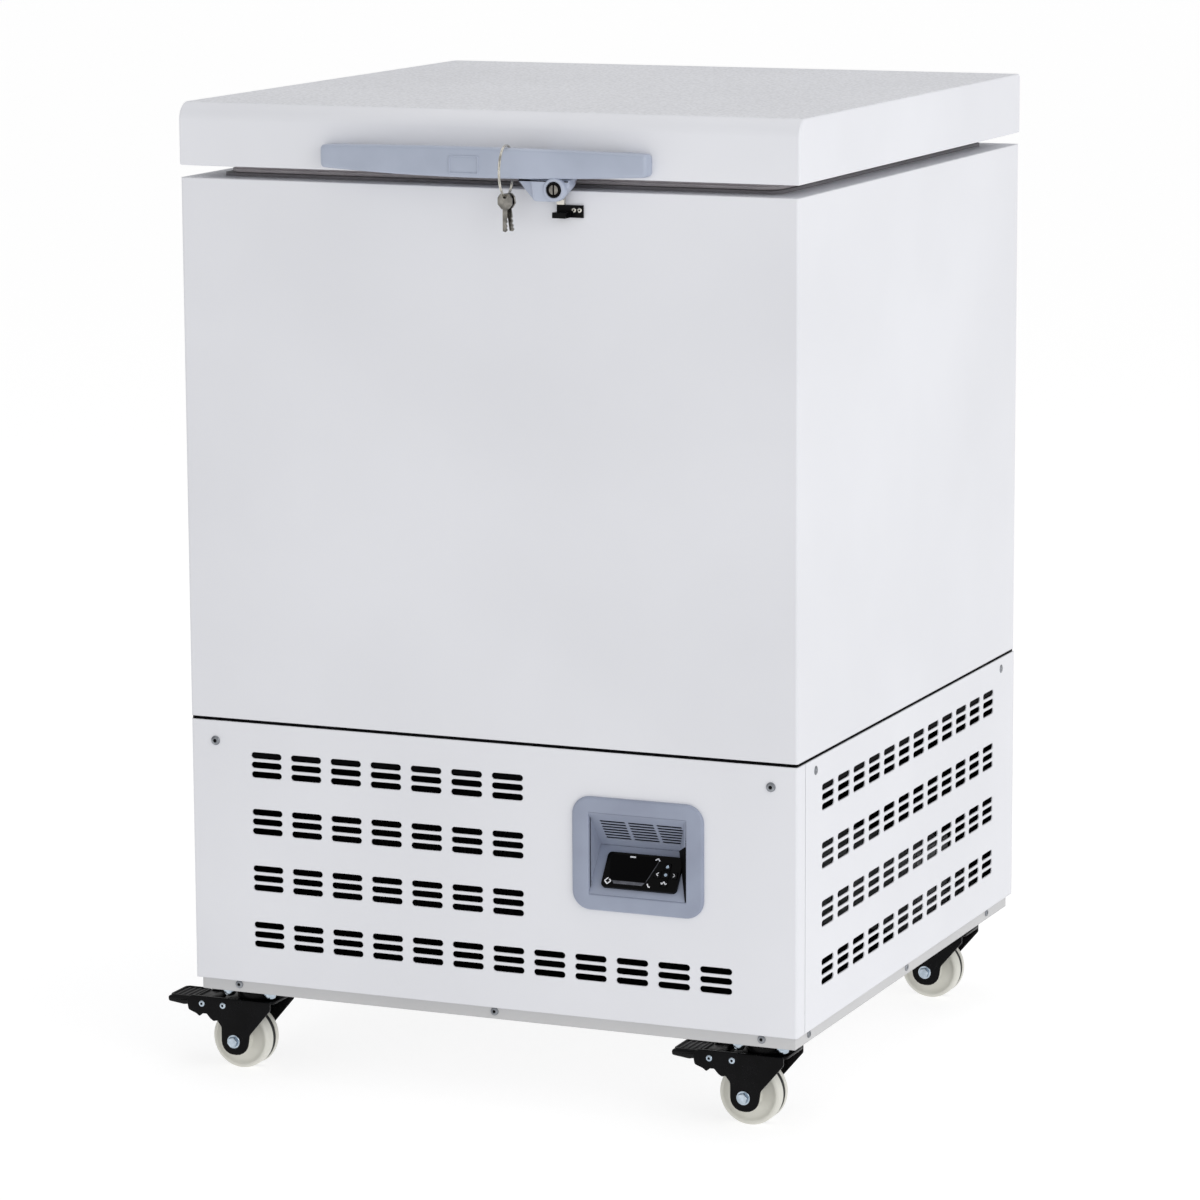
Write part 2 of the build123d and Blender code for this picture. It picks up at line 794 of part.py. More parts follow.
with BuildPart() as handle:
    with BuildSketch(level(handle_low)):
        with BuildLine():
            bow = ThreePointArc(
                (handle_left, front - handle_end_depth),
                (handle_x, front - handle_mid_depth),
                (handle_right, front - handle_end_depth),
            )
            Polyline(bow @ 1, (handle_right, front), (handle_left, front), bow @ 0)
        make_face()
        with BuildLine():
            grip_left = handle_x - grip_half
            grip_right = handle_x + grip_half
            grip = ThreePointArc(
                (grip_left, bow_y(grip_radius, grip_left)),
                (handle_x, bow_y(grip_radius, handle_x)),
                (grip_right, bow_y(grip_radius, grip_right)),
            )
            Polyline(grip @ 1, (grip_right, front), (grip_left, front), grip @ 0)
        make_face(mode=Mode.SUBTRACT)
    extrude(amount=handle_mid_height)
    with BuildSketch(facing_front(front)):
        with BuildLine():
            upper = ThreePointArc(
                (handle_left, handle_z + handle_end_height / 2),
                (handle_x, handle_z + handle_mid_height / 2),
                (handle_right, handle_z + handle_end_height / 2),
            )
            lower = ThreePointArc(
                (handle_left, handle_z - handle_end_height / 2),
                (handle_x, handle_z - handle_mid_height / 2),
                (handle_right, handle_z - handle_end_height / 2),
            )
            Line(upper @ 0, lower @ 0)
            Line(upper @ 1, lower @ 1)
        make_face()
    extrude(amount=handle_mid_depth, mode=Mode.INTERSECT)
keep(handle, "handle")

# Lock housing under the handle, with the bores for the cylinder and the bolt
housing_top = handle_low - housing_gap
housing_low = housing_top - housing_drop
lock_z = rim_z + lock_up
bolt_y = front - housing_clearance - bolt_setback + bolt_thickness / 2
bolt_low = housing_low - bolt_show
with BuildPart() as lock_housing:
    with BuildSketch(facing_front(front - housing_clearance)) as housing_face:
        with BuildLine():
            Polyline(
                (lock_x - housing_left, housing_top),
                (lock_x - housing_low_left, housing_low),
                (lock_x + housing_low_right, housing_low),
                (lock_x + housing_right, housing_top),
                close=True,
            )
        make_face()
        fillet(housing_face.vertices().group_by(Axis.Y)[0], housing_corner)
    extrude(amount=housing_depth - housing_clearance)
    with BuildSketch(facing_front(front)):
        with Locations((lock_x, housing_top + housing_back_height / 2)):
            Rectangle(2 * housing_right, housing_back_height)
    extrude(amount=housing_back_depth)
    with BuildSketch(facing_front(front - housing_depth)):
        with Locations((lock_x, lock_z)):
            Circle(lock_radius + lock_clearance)
    extrude(amount=-lock_length + lock_proud - 2 * bolt_clearance, mode=Mode.SUBTRACT)
    with BuildSketch(level(housing_low)):
        with Locations((lock_x, bolt_y)):
            Rectangle(bolt_width + 2 * bolt_clearance, bolt_thickness + 2 * bolt_clearance)
    extrude(amount=housing_drop, mode=Mode.SUBTRACT)
keep(lock_housing, "lock_housing")

with BuildPart() as lock_cylinder:
    with BuildSketch(facing_front(front - housing_depth - lock_proud)):
        with Locations((lock_x, lock_z)):
            Circle(lock_radius)
    extrude(amount=-lock_length)
    with BuildSketch(facing_front(front - housing_depth - lock_proud)):
        with Locations((lock_x, lock_z)):
            Rectangle(lock_slot_width, lock_slot_length)
    extrude(amount=-lock_slot_depth, mode=Mode.SUBTRACT)
keep(lock_cylinder, "lock_cylinder")

with BuildPart() as lock_bolt:
    with BuildSketch(level(bolt_low)):
        with Locations((lock_x, bolt_y)):
            Rectangle(bolt_width, bolt_thickness)
    extrude(amount=bolt_length)
keep(lock_bolt, "lock_bolt")

# Keeper on the cabinet front that the bolt drops into
keeper_top = bolt_low - keeper_clearance
keeper_left = lock_x - keeper_lip_width / 2
with BuildPart() as lock_keeper:
    with BuildSketch(facing_front(front)):
        with Locations((keeper_left + keeper_width / 2, keeper_top - keeper_height / 2)):
            Rectangle(keeper_width, keeper_height)
    extrude(amount=keeper_plate)
    with BuildSketch(level(keeper_top - keeper_height)):
        with Locations((lock_x, front - keeper_reach / 2)):
            Rectangle(keeper_lip_width, keeper_reach)
        with Locations((lock_x, bolt_y)):
            Rectangle(
                bolt_width + 4 * bolt_clearance, bolt_thickness + 4 * bolt_clearance, mode=Mode.SUBTRACT
            )
    extrude(amount=keeper_lip_height)
keep(lock_keeper, "lock_keeper")

# Key ring round the handle bar, with two keys
bar_back = bow_y(grip_radius, ring_x)
ring_y = front - ring_stand_off - ring_inner - ring_wire
bar_top = handle_z + handle_mid_height / 2
ring_z = bar_top - sqrt(ring_inner**2 - (bar_back - ring_y) ** 2) + ring_clearance
with BuildPart() as key_ring:
    with BuildSketch(facing_right(ring_x - ring_width / 2)):
        with Locations((ring_y, ring_z)):
            Circle(ring_inner + ring_wire)
            Circle(ring_inner, mode=Mode.SUBTRACT)
    extrude(amount=ring_width)
keep(key_ring, "key_ring")

key_z = ring_z - ring_inner - ring_wire / 2
for name, offset_y, lean in (("front", -key_spread, 0.0), ("rear", key_spread + key_plate, key_lean)):
    across = (cos(radians(lean)), 0, sin(radians(lean)))
    hanging = Plane((ring_x, ring_y + offset_y, key_z), x_dir=across, z_dir=(0, -1, 0))
    with BuildPart() as lock_key:
        with BuildSketch(hanging):
            with Locations((0, -key_bow_drop)):
                Circle(key_bow_radius)
            with Locations((0, -key_bow_drop - (key_bow_radius + key_blade_length) / 2)):
                Rectangle(key_blade_width, key_bow_radius + key_blade_length)
            Circle(key_hole, mode=Mode.SUBTRACT)
        extrude(amount=key_plate)
    keep(lock_key, f"lock_key_{name}")

# Compressor on rubber grommets
compressor_y = coil_y
foot_z = floor_z + grommet_height
shell_z = foot_z + foot_sheet
shell_top = cabinet_z - compressor_headroom
stub_top = shell_top + stub_height
with BuildPart() as compressor:
    with BuildSketch(level(foot_z)):
        with Locations((compressor_x, compressor_y)):
            Rectangle(foot_length, foot_width)
    extrude(amount=foot_sheet)
    with BuildSketch(level(shell_z)):
        with Locations((compressor_x, compressor_y)):
            Circle(compressor_radius)
    extrude(amount=shell_top - shell_z)
    chamfer(compressor.faces().sort_by(Axis.Z)[-1].edges(), compressor_dome)
    with BuildSketch(level(shell_top)):
        with Locations((discharge_x, compressor_y), (suction_x, compressor_y)):
            Circle(stub_radius)
    extrude(amount=stub_height)
keep(compressor, "compressor")

with BuildPart() as compressor_grommets:
    with BuildSketch(level(floor_z)):
        with Locations((compressor_x, compressor_y)):
            with GridLocations(foot_length - 2 * foot_inset, foot_width - 2 * foot_inset, 2, 2):
                Circle(grommet_radius)
    extrude(amount=grommet_height)
keep(compressor_grommets, "compressor_grommets")

# Finned condenser behind the front slots, under the evaporator's front tail
condenser_y = -coil_y
condenser_z = floor_z + condenser_up
condenser_back = condenser_y + condenser_depth / 2
condenser_top = cabinet_z - condenser_headroom
condenser_height = condenser_top - condenser_z
with BuildPart() as condenser:
    with BuildSketch(level(condenser_z)):
        with Locations((condenser_x, condenser_y)):
            Rectangle(condenser_length, condenser_depth)
    extrude(amount=condenser_height)
    with BuildSketch(level(floor_z)):
        with Locations((condenser_x, condenser_y)):
            with GridLocations(condenser_length + end_plate, 0, 2, 1):
                Rectangle(end_plate, condenser_depth)
    extrude(amount=condenser_up + condenser_height)
    with BuildSketch(level(condenser_top)):
        with Locations((discharge_x, condenser_y)):
            Circle(stub_radius)
    extrude(amount=stub_height)
keep(condenser, "condenser")

# Filter drier on the condenser's outlet
drier_z = floor_z + drier_up
with BuildPart() as filter_drier:
    with BuildSketch(facing_right(drier_start)):
        with Locations((condenser_y, drier_z)):
            Circle(drier_stub_radius)
    extrude(amount=drier_end - drier_start)
    with BuildSketch(facing_right(drier_start + drier_stub_length)):
        with Locations((condenser_y, drier_z)):
            Circle(drier_radius)
    extrude(amount=drier_length)
keep(filter_drier, "filter_drier")

# Refrigerant pipes: discharge to the condenser, suction from the evaporator, and the drier's capillary
loop_z = stub_top + pipe_bend + pipe_clearance
pipe_routes = (
    (
        stub_radius,
        (discharge_x, compressor_y, stub_top),
        (discharge_x, compressor_y, loop_z),
        (discharge_x, condenser_y, loop_z),
        (discharge_x, condenser_y, condenser_top + stub_height),
    ),
    (
        capillary_radius,
        (drier_end, condenser_y, drier_z),
        (capillary_x, condenser_y, drier_z),
        (capillary_x, condenser_y, cabinet_z),
    ),
)
with BuildPart() as refrigerant_pipes:
    with BuildSketch(level(stub_top, suction_x, compressor_y)):
        Circle(stub_radius)
    extrude(amount=cabinet_z - stub_top)
    for radius, *points in pipe_routes:
        with BuildLine() as route:
            FilletPolyline(*points, radius=pipe_bend)
        with BuildSketch(Plane(route.line @ 0, z_dir=route.line % 0)):
            Circle(radius)
        sweep(path=route.line)
keep(refrigerant_pipes, "refrigerant_pipes")

# Fan shroud on the back of the condenser, with the motor on two arms
fan_z = condenser_z + condenser_height / 2
fan_radius = min(condenser_length, condenser_height) / 2 - fan_margin
ring_radius = fan_radius + fan_tip_gap
shroud_back = condenser_back + shroud_sheet
ring_back = shroud_back + shroud_ring_depth
motor_y = ring_back + motor_gap
with BuildPart() as fan_shroud:
    with BuildSketch(facing_front(shroud_back)):
        with Locations((condenser_x, (floor_z + condenser_top) / 2)):
            Rectangle(condenser_length, condenser_top - floor_z)
        with Locations((condenser_x, fan_z)):
            Circle(ring_radius, mode=Mode.SUBTRACT)
    extrude(amount=shroud_sheet)
    with BuildSketch(facing_front(ring_back)):
        with Locations((condenser_x, fan_z)):
            Circle(ring_radius + shroud_ring_wall)
            Circle(ring_radius, mode=Mode.SUBTRACT)
    extrude(amount=shroud_ring_depth)
    with BuildSketch(facing_front(motor_y)):
        with Locations((condenser_x, fan_z)):
            Rectangle(2 * (ring_radius + shroud_ring_wall), motor_arm)
            Rectangle(2 * fan_hub_radius, 2 * fan_hub_radius)
            Rectangle(fan_hub_radius, fan_hub_radius, mode=Mode.SUBTRACT)
    extrude(amount=motor_gap)
keep(fan_shroud, "fan_shroud")

with BuildPart() as fan_motor:
    with BuildSketch(facing_front(motor_y)):
        with Locations((condenser_x, fan_z)):
            Circle(motor_radius)
    extrude(amount=-motor_length)
    with BuildSketch(facing_front(motor_y)):
        with Locations((condenser_x, fan_z)):
            Circle(fan_shaft + running_clearance)
    extrude(amount=-fan_shaft_length, mode=Mode.SUBTRACT)
keep(fan_motor, "fan_motor")

blade_length = fan_radius - fan_hub_radius
fan_front = facing_front(shroud_back + shroud_ring_depth / 2, condenser_x, fan_z)
with BuildPart(fan_front) as fan_blade:
    Cylinder(fan_hub_radius, fan_hub_depth)
    with PolarLocations((fan_radius + fan_hub_radius) / 2 - fan_blade_sheet, fan_blades):
        Box(blade_length, fan_chord, fan_blade_sheet, rotation=(fan_pitch, 0, 0))
    with BuildSketch(fan_front):
        Circle(fan_shaft)
    extrude(amount=-(motor_y - fan_front.origin.Y) - fan_shaft_length + motor_gap)
keep(fan_blade, "fan_blade")

# Electrical box on the pan
with BuildPart() as electrical_box:
    with BuildSketch(level(floor_z)):
        with Locations((electrical_x, electrical_y)):
            Rectangle(electrical_length, electrical_width)
    extrude(amount=electrical_height)
    with BuildSketch(level(floor_z + electrical_sheet)):
        with Locations((electrical_x, electrical_y)):
            Rectangle(electrical_length - 2 * electrical_sheet, electrical_width - 2 * electrical_sheet)
    extrude(amount=electrical_height - 2 * electrical_sheet, mode=Mode.SUBTRACT)
keep(electrical_box, "electrical_box")

# Casters: top plate with its race and king pin, fork with the axle, wheel, and the front pair's brakes
plate_z = caster_height - plate_thickness
race_z = plate_z - race_height
crown_z = race_z - swivel_gap - fork_sheet
axle_z = wheel_radius
leg_inner = fork_width / 2 - fork_sheet
hub_half = leg_inner - wheel_hub_clearance
pedal_up = pedal_pivot_up - axle_z
pivot_back = pedal_pivot_back - caster_trail
pivot_to_axle = hypot(pivot_back, pedal_up)
shoe_angle = degrees(atan2(-pedal_up, pivot_back)) - pedal_turn
shoe_reach = pivot_to_axle - wheel_radius - shoe_gap - shoe_tip


def caster_fork(x, y, braked):
    """Stamped fork: crown, two tapered legs, the axle bolt and, where braked, the pedal's cheeks."""
    axle_x = x - caster_trail
    with BuildPart() as fork:
        with BuildSketch(level(crown_z, x, y)) as crown:
            Rectangle(2 * fork_half_length, fork_width)
            chamfer(crown.vertices(), fork_corner)
        extrude(amount=fork_sheet)
        for leg_front in (y - leg_inner, y + fork_width / 2):
            with BuildSketch(facing_front(leg_front)):
                with Locations((axle_x, axle_z)):
                    Circle(fork_lobe_radius)
                with Locations((x, crown_z + fork_sheet / 2)):
                    Rectangle(2 * (fork_half_length - fork_corner / 2), fork_sheet)
                make_hull()
            extrude(amount=fork_sheet)
        with BuildSketch(facing_front(y + fork_width / 2, axle_x, axle_z)):
            Circle(axle_radius)
        extrude(amount=fork_width)
        for head_front in (y - fork_width / 2, y + fork_width / 2 + axle_head_height):
            with BuildSketch(facing_front(head_front, axle_x, axle_z)):
                RegularPolygon(axle_head_across / 2, 6, major_radius=False)
            extrude(amount=axle_head_height)
        if braked:
            for cheek_front in (y - cheek_inner, y + cheek_inner + cheek_sheet):
                with BuildSketch(facing_front(cheek_front)):
                    with Locations((x - pedal_pivot_back, pedal_pivot_up)):
                        Circle(pedal_hub + pedal_side_gap)
                    with Locations((x - fork_half_length + fork_corner / 2, crown_z + fork_sheet / 2)):
                        Rectangle(fork_corner, fork_sheet)
                    make_hull()
                extrude(amount=cheek_sheet)
            with BuildSketch(facing_front(y + cheek_inner, x - pedal_pivot_back, pedal_pivot_up)):
                Circle(pedal_pin)
            extrude(amount=2 * cheek_inner)
        with BuildSketch(level(crown_z, x, y)):
            Circle(king_radius + running_clearance)
        extrude(amount=fork_sheet, mode=Mode.SUBTRACT)
    return fork


def caster_wheel(x, y):
    """Nylon wheel with a hub that runs on the axle."""
    axle_x = x - caster_trail
    half_tread = wheel_tread / 2
    with BuildPart() as wheel:
        with BuildSketch(facing_right(axle_x, y, axle_z)):
            with BuildLine():
                Polyline(
                    (-hub_half, axle_radius + running_clearance),
                    (-hub_half, wheel_hub_radius),
                    (-half_tread, wheel_hub_radius),
                    (-half_tread, wheel_radius),
                    (half_tread, wheel_radius),
                    (half_tread, wheel_hub_radius),
                    (hub_half, wheel_hub_radius),
                    (hub_half, axle_radius + running_clearance),
                    close=True,
                )
            make_face()
        revolve(axis=Axis((axle_x, y, axle_z), (0, 1, 0)))
    return wheel


def caster_pedal(x, y):
    """Foot pedal with a neck between the cheeks and a shoe that swings to the wheel."""
    pivot_x = x - pedal_pivot_back
    neck_half = cheek_inner - pedal_side_gap
    with BuildPart() as pedal:
        with BuildSketch(facing_front(y + neck_half, pivot_x, pedal_pivot_up)):
            Circle(pedal_hub)
            with Locations((shoe_reach * cos(radians(shoe_angle)), shoe_reach * sin(radians(shoe_angle)))):
                Circle(shoe_tip)
            make_hull()
            with Locations(((pedal_pivot_back - pedal_neck) / 2, pedal_thickness / 2)):
                Rectangle(pedal_neck - pedal_pivot_back, pedal_thickness)
        extrude(amount=2 * neck_half)
        with BuildSketch(level(pedal_pivot_up, x - (pedal_neck + pedal_reach) / 2, y)):
            RectangleRounded(pedal_reach - pedal_neck, pedal_width, pedal_thickness)
        extrude(amount=pedal_thickness)
        with BuildSketch(facing_front(y + neck_half, pivot_x, pedal_pivot_up)):
            Circle(pedal_pin + running_clearance)
        extrude(amount=2 * neck_half, mode=Mode.SUBTRACT)
    return pedal


caster_places = {
    "front_left": (-caster_x, front + caster_front_inset, True),
    "front_right": (caster_x, front + caster_front_inset, True),
    "rear_left": (-caster_x, back - caster_rear_inset, False),
    "rear_right": (caster_x, back - caster_rear_inset, False),
}
with BuildPart() as caster_plates:
    for place_x, place_y, braked in caster_places.values():
        with BuildSketch(level(plate_z, place_x, place_y)) as plate_face:
            Rectangle(plate_length, plate_width)
            chamfer(plate_face.vertices(), plate_corner)
        extrude(amount=plate_thickness)
        with BuildSketch(level(race_z, place_x, place_y)):
            Circle(race_radius)
        extrude(amount=race_height)
        with BuildSketch(level(crown_z - swivel_gap, place_x, place_y)):
            Circle(king_radius)
        extrude(amount=race_z - crown_z + swivel_gap)
        with BuildSketch(level(crown_z - swivel_gap - king_nut_height, place_x, place_y)):
            RegularPolygon(king_nut_across / 2, 6, major_radius=False)
        extrude(amount=king_nut_height)
keep(caster_plates, "caster_plates")

for place, (place_x, place_y, braked) in caster_places.items():
    keep(caster_fork(place_x, place_y, braked), f"caster_fork_{place}")
    keep(caster_wheel(place_x, place_y), f"caster_wheel_{place}")
    if braked:
        keep(caster_pedal(place_x, place_y), f"brake_pedal_{place}")
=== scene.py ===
"""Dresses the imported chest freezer: sheet panels, mouldings, lock, casters, finishes, light and camera.

Shapes are worked out in millimetres in the freezer's own frame, and put in the scene in metres.
"""

import json

import bmesh
import bpy
import numpy as np
from mathutils import Matrix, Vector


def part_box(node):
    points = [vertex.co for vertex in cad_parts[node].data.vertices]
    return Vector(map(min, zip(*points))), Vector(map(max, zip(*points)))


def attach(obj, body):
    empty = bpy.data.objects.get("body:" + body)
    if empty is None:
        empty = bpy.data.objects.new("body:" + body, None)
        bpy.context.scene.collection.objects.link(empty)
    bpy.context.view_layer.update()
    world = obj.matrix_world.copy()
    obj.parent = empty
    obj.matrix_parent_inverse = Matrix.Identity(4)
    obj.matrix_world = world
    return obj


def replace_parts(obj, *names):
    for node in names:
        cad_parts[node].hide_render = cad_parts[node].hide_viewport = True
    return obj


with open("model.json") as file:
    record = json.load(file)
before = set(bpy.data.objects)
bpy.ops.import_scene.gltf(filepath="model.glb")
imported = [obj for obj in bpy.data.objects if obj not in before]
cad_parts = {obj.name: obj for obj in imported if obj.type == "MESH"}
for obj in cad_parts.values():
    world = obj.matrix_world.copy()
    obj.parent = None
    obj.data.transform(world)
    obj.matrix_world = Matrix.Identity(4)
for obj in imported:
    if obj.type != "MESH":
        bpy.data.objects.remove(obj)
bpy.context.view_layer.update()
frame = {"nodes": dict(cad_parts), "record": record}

MM = 0.001
WORLD_X = np.array([1.0, 0.0, 0.0])
WORLD_Y = np.array([0.0, 1.0, 0.0])
WORLD_Z = np.array([0.0, 0.0, 1.0])


def box_mm(node_name):
    """Lowest and highest corner of a CAD node, in millimetres."""
    low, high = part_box(node_name)
    return np.array(low) / MM, np.array(high) / MM


shell_low, shell_high = box_mm("outer_shell")
panel_low, panel_high = box_mm("front_panel")
pan_low, pan_high = box_mm("base_pan")
lid_low, lid_high = box_mm("lid_shell")
FRONT = shell_low[1]
BACK = shell_high[1]
SIDE = shell_high[0]
BASE = panel_low[2]
BASE_TOP = panel_high[2]
LID = lid_low[2]


# Shapes: a shape is an array of vertices in millimetres and a list of faces


def join(*shapes):
    """Several shapes as one: the vertices follow each other and the faces count on."""
    starts = np.cumsum([0] + [len(points) for points, _ in shapes])
    groups = zip(starts, (faces for _, faces in shapes))
    moved = [[corner + start for corner in face] for start, faces in groups for face in faces]
    return np.concatenate([points for points, _ in shapes]), moved


def grid(points, wrap_rows=False, wrap_columns=False):
    """Quads between neighbours of a rows by columns array of points; a wrapped side meets its other end."""
    rows, columns = points.shape[:2]
    row = np.arange(rows if wrap_rows else rows - 1)[:, None]
    column = np.arange(columns if wrap_columns else columns - 1)[None, :]
    next_row, next_column = (row + 1) % rows, (column + 1) % columns
    corners = [row * columns + column, row * columns + next_column]
    corners += [next_row * columns + next_column, next_row * columns + column]
    quads = np.stack(np.broadcast_arrays(*corners), -1).reshape(-1, 4)
    return points.reshape(-1, 3), quads.tolist()


def capped(shape, count):
    """Closes a stack of rings, of so many points each, with a face over its first and its last ring."""
    points, faces = shape
    return points, faces + [list(range(count))[::-1], list(range(len(points) - count, len(points)))]


def arc(start, end, steps):
    """Angles from start to end in degrees, as radians."""
    return np.radians(np.linspace(start, end, steps + 1))


def spokes(angle):
    """Unit vectors at the given angles."""
    return np.stack([np.cos(angle), np.sin(angle)], 1)


def circle(radius, steps):
    """Round section of a wire."""
    return radius * spokes(np.arange(steps) * 2 * np.pi / steps)


def rectangle(low, high):
    """Corners of a rectangle, anticlockwise."""
    return np.array([(low[0], low[1]), (high[0], low[1]), (high[0], high[1]), (low[0], high[1])], float)


def rounded(corners, radii, steps=6):
    """Closed outline with each corner replaced by an arc tangent to both of its sides."""
    corners = np.asarray(corners, float)
    share = np.linspace(0, 1, steps + 1)[:, None]
    stretches = []
    for before, here, after, radius in zip(np.roll(corners, 1, 0), corners, np.roll(corners, -1, 0), radii):
        back_way = (before - here) / np.linalg.norm(before - here)
        on_way = (after - here) / np.linalg.norm(after - here)
        half = np.arccos(np.clip(back_way @ on_way, -1, 1)) / 2
        middle = here + (back_way + on_way) / np.linalg.norm(back_way + on_way) * radius / np.sin(half)
        first = here + back_way * radius / np.tan(half) - middle
        last = here + on_way * radius / np.tan(half) - middle
        turn = np.pi - 2 * half
        swing = np.sin((1 - share) * turn) * first + np.sin(share * turn) * last
        stretches.append(middle + swing / np.sin(turn))
    return np.concatenate(stretches)


def round_box(low, high, radius, steps=6):
    """Rectangle with four corners of the same radius."""
    return rounded(rectangle(low, high), 4 * (radius,), steps)


def finer(outline, parts):
    """Outline with each of its sides cut into equal parts."""
    share = np.arange(parts)[:, None] / parts
    sides = np.roll(outline, -1, 0) - outline
    return (outline[:, None] + share * sides[:, None]).reshape(-1, 2)


def inset(outline, distance):
    """Outline moved inwards: each corner goes along the mean of its two sides' inward normals."""
    along = np.roll(outline, -1, 0) - outline
    along /= np.linalg.norm(along, axis=1, keepdims=True)
    inward = np.stack([-along[:, 1], along[:, 0]], 1)
    before = np.roll(inward, 1, 0)
    return outline + distance * (before + inward) / (1 + np.sum(before * inward, 1, keepdims=True))


def layered(rows, origin, across, up):
    """Stack of outlines in the plane of across and up, each at its own height along the normal."""
    normal = np.cross(across, up)
    layers = [origin + flat[:, :1] * across + flat[:, 1:] * up + height * normal for flat, height in rows]
    return np.stack(layers)


def plate(outline, origin, across, up, thickness, edge=0.0, steps=3):
    """Anticlockwise outline carried along its normal for a thickness; edge is the radius of both rims."""
    outline = np.asarray(outline, float)
    turns = arc(0, 90, steps) if edge else [np.pi / 2]
    rim = [(edge * (1 - np.sin(turn)), edge * (1 - np.cos(turn))) for turn in turns]
    rims = rim + [(move, thickness - height) for move, height in rim[::-1]]
    rows = [(inset(outline, move) if move else outline, height) for move, height in rims]
    return capped(grid(layered(rows, origin, across, up), wrap_columns=True), len(outline))


def turned(profile, centre, axis, steps=48, bored=False):
    """Profile of (distance along the axis, radius) carried round the axis; a zero radius closes to a point,
    and a bored piece joins its last ring to its first."""
    across = np.cross(axis, WORLD_Z if abs(axis[2]) < 0.9 else WORLD_X)
    across /= np.linalg.norm(across)
    way = spokes(np.arange(steps) * 2 * np.pi / steps)
    spoke = way[:, :1] * across + way[:, 1:] * np.cross(axis, across)
    profile = np.asarray(profile, float)
    points = np.asarray(centre) + profile[:, None, :1] * axis + profile[:, None, 1:] * spoke
    return grid(points, wrap_rows=bored, wrap_columns=True)


def carried(path, section, sideways, closed=False):
    """Section of (side, lift) carried along a path; side is square to the path and to the given direction."""
    ahead = np.roll(path, -1, 0) - np.roll(path, 1, 0)
    if not closed:
        ahead[0] = path[1] - path[0]
        ahead[-1] = path[-1] - path[-2]
    ahead /= np.linalg.norm(ahead, axis=1, keepdims=True)
    lift = sideways - np.sum(sideways * ahead, 1, keepdims=True) * ahead
    lift /= np.linalg.norm(lift, axis=1, keepdims=True)
    side = np.cross(ahead, lift)
    points = path[:, None] + section[None, :, :1] * side[:, None] + section[None, :, 1:] * lift[:, None]
    shape = grid(points, wrap_rows=closed, wrap_columns=True)
    return shape if closed else capped(shape, len(section))


def walled(shape, inward):
    """Sheet with a wall: a surface, its copy moved inwards and turned over, and quads along free edges."""
    points, faces = shape
    count = len(points)
    edges = np.array([pair for face in faces for pair in zip(face, face[1:] + face[:1])])
    _, first, uses = np.unique(np.sort(edges, 1) @ (count, 1), return_index=True, return_counts=True)
    free = edges[first[uses == 1]]
    rim = np.stack([free[:, 1], free[:, 0], free[:, 0] + count, free[:, 1] + count], 1)
    back = [[corner + count for corner in face[::-1]] for face in faces]
    return np.concatenate([points, points + inward]), faces + back + rim.tolist()


def lines_at(*values):
    """Grid lines at all the given values, each once, in order."""
    return np.unique(np.concatenate(values).round(4))


def crossings(across, up):
    """Every point of an across value and an up value."""
    return np.stack(np.meshgrid(across, up), -1).reshape(-1, 2)


def slotted(us, vs, slots, length, height, hole=None, steps=6):
    """Flat sheet on a grid of lines; each cell with a slot's centre gets a slot with half-round ends, and the
    cells whose middles lie in the hole (low u, high u, low v, high v) are left out."""
    column = np.searchsorted(us, slots[:, 0]) - 1
    row = np.searchsorted(vs, slots[:, 1]) - 1
    taken = np.zeros((len(us) - 1, len(vs) - 1), bool)
    taken[column, row] = True
    if hole:
        middle_u, middle_v = (us[1:] + us[:-1]) / 2, (vs[1:] + vs[:-1]) / 2
        inside_u = (middle_u > hole[0]) & (middle_u < hole[1])
        taken |= inside_u[:, None] & ((middle_v > hole[2]) & (middle_v < hole[3]))
    lines = np.stack(np.meshgrid(us, vs, indexing="ij"), -1).reshape(-1, 2)
    plain = np.argwhere(~taken) @ (len(vs), 1)
    quads = np.stack([plain, plain + len(vs), plain + len(vs) + 1, plain + 1], 1)
    right_end = np.array([(length - height) / 2, 0]) + height / 2 * spokes(arc(-90, 90, steps))
    outline = np.concatenate([right_end, -right_end])
    rims = (slots[:, None] + outline).reshape(-1, 2)
    rim = len(lines) + np.arange(len(slots))[:, None] * len(outline) + np.arange(len(outline))
    low_left = (column * len(vs) + row)[:, None]
    low_right, high_right, high_left = low_left + len(vs), low_left + len(vs) + 1, low_left + 1
    rings = np.hstack([low_left, low_right, rim[:, [0, -1]]]).tolist()
    rings += np.hstack([low_right, high_right, rim[:, steps::-1]]).tolist()
    rings += np.hstack([high_right, high_left, rim[:, [steps + 1, steps]]]).tolist()
    rings += np.hstack([high_left, low_left, rim[:, :steps:-1]]).tolist()
    return np.concatenate([lines, rims]), quads.tolist() + rings


def added(name, data):
    """New object of the given data, put in the scene."""
    made = bpy.data.objects.new(name, data)
    bpy.context.scene.collection.objects.link(made)
    return made


def piece(name, shape, material, body, sharp=35.0):
    """Puts a shape in the scene as one closed object on a body; edges over the sharp angle stay crisp."""
    vertices, faces = shape
    mesh = bpy.data.meshes.new(name)
    mesh.from_pydata((vertices * MM).tolist(), [], faces)
    work = bmesh.new()
    work.from_mesh(mesh)
    bmesh.ops.remove_doubles(work, verts=work.verts, dist=2e-6)
    bmesh.ops.dissolve_degenerate(work, edges=work.edges, dist=1e-7)
    bmesh.ops.recalc_face_normals(work, faces=work.faces)
    work.to_mesh(mesh)
    work.free()
    mesh.polygons.foreach_set("use_smooth", np.ones(len(mesh.polygons), bool))
    mesh.set_sharp_from_angle(angle=np.radians(sharp))
    mesh.materials.append(material)
    made = added(name, mesh)
    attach(made, body)
    return made


# Finishes

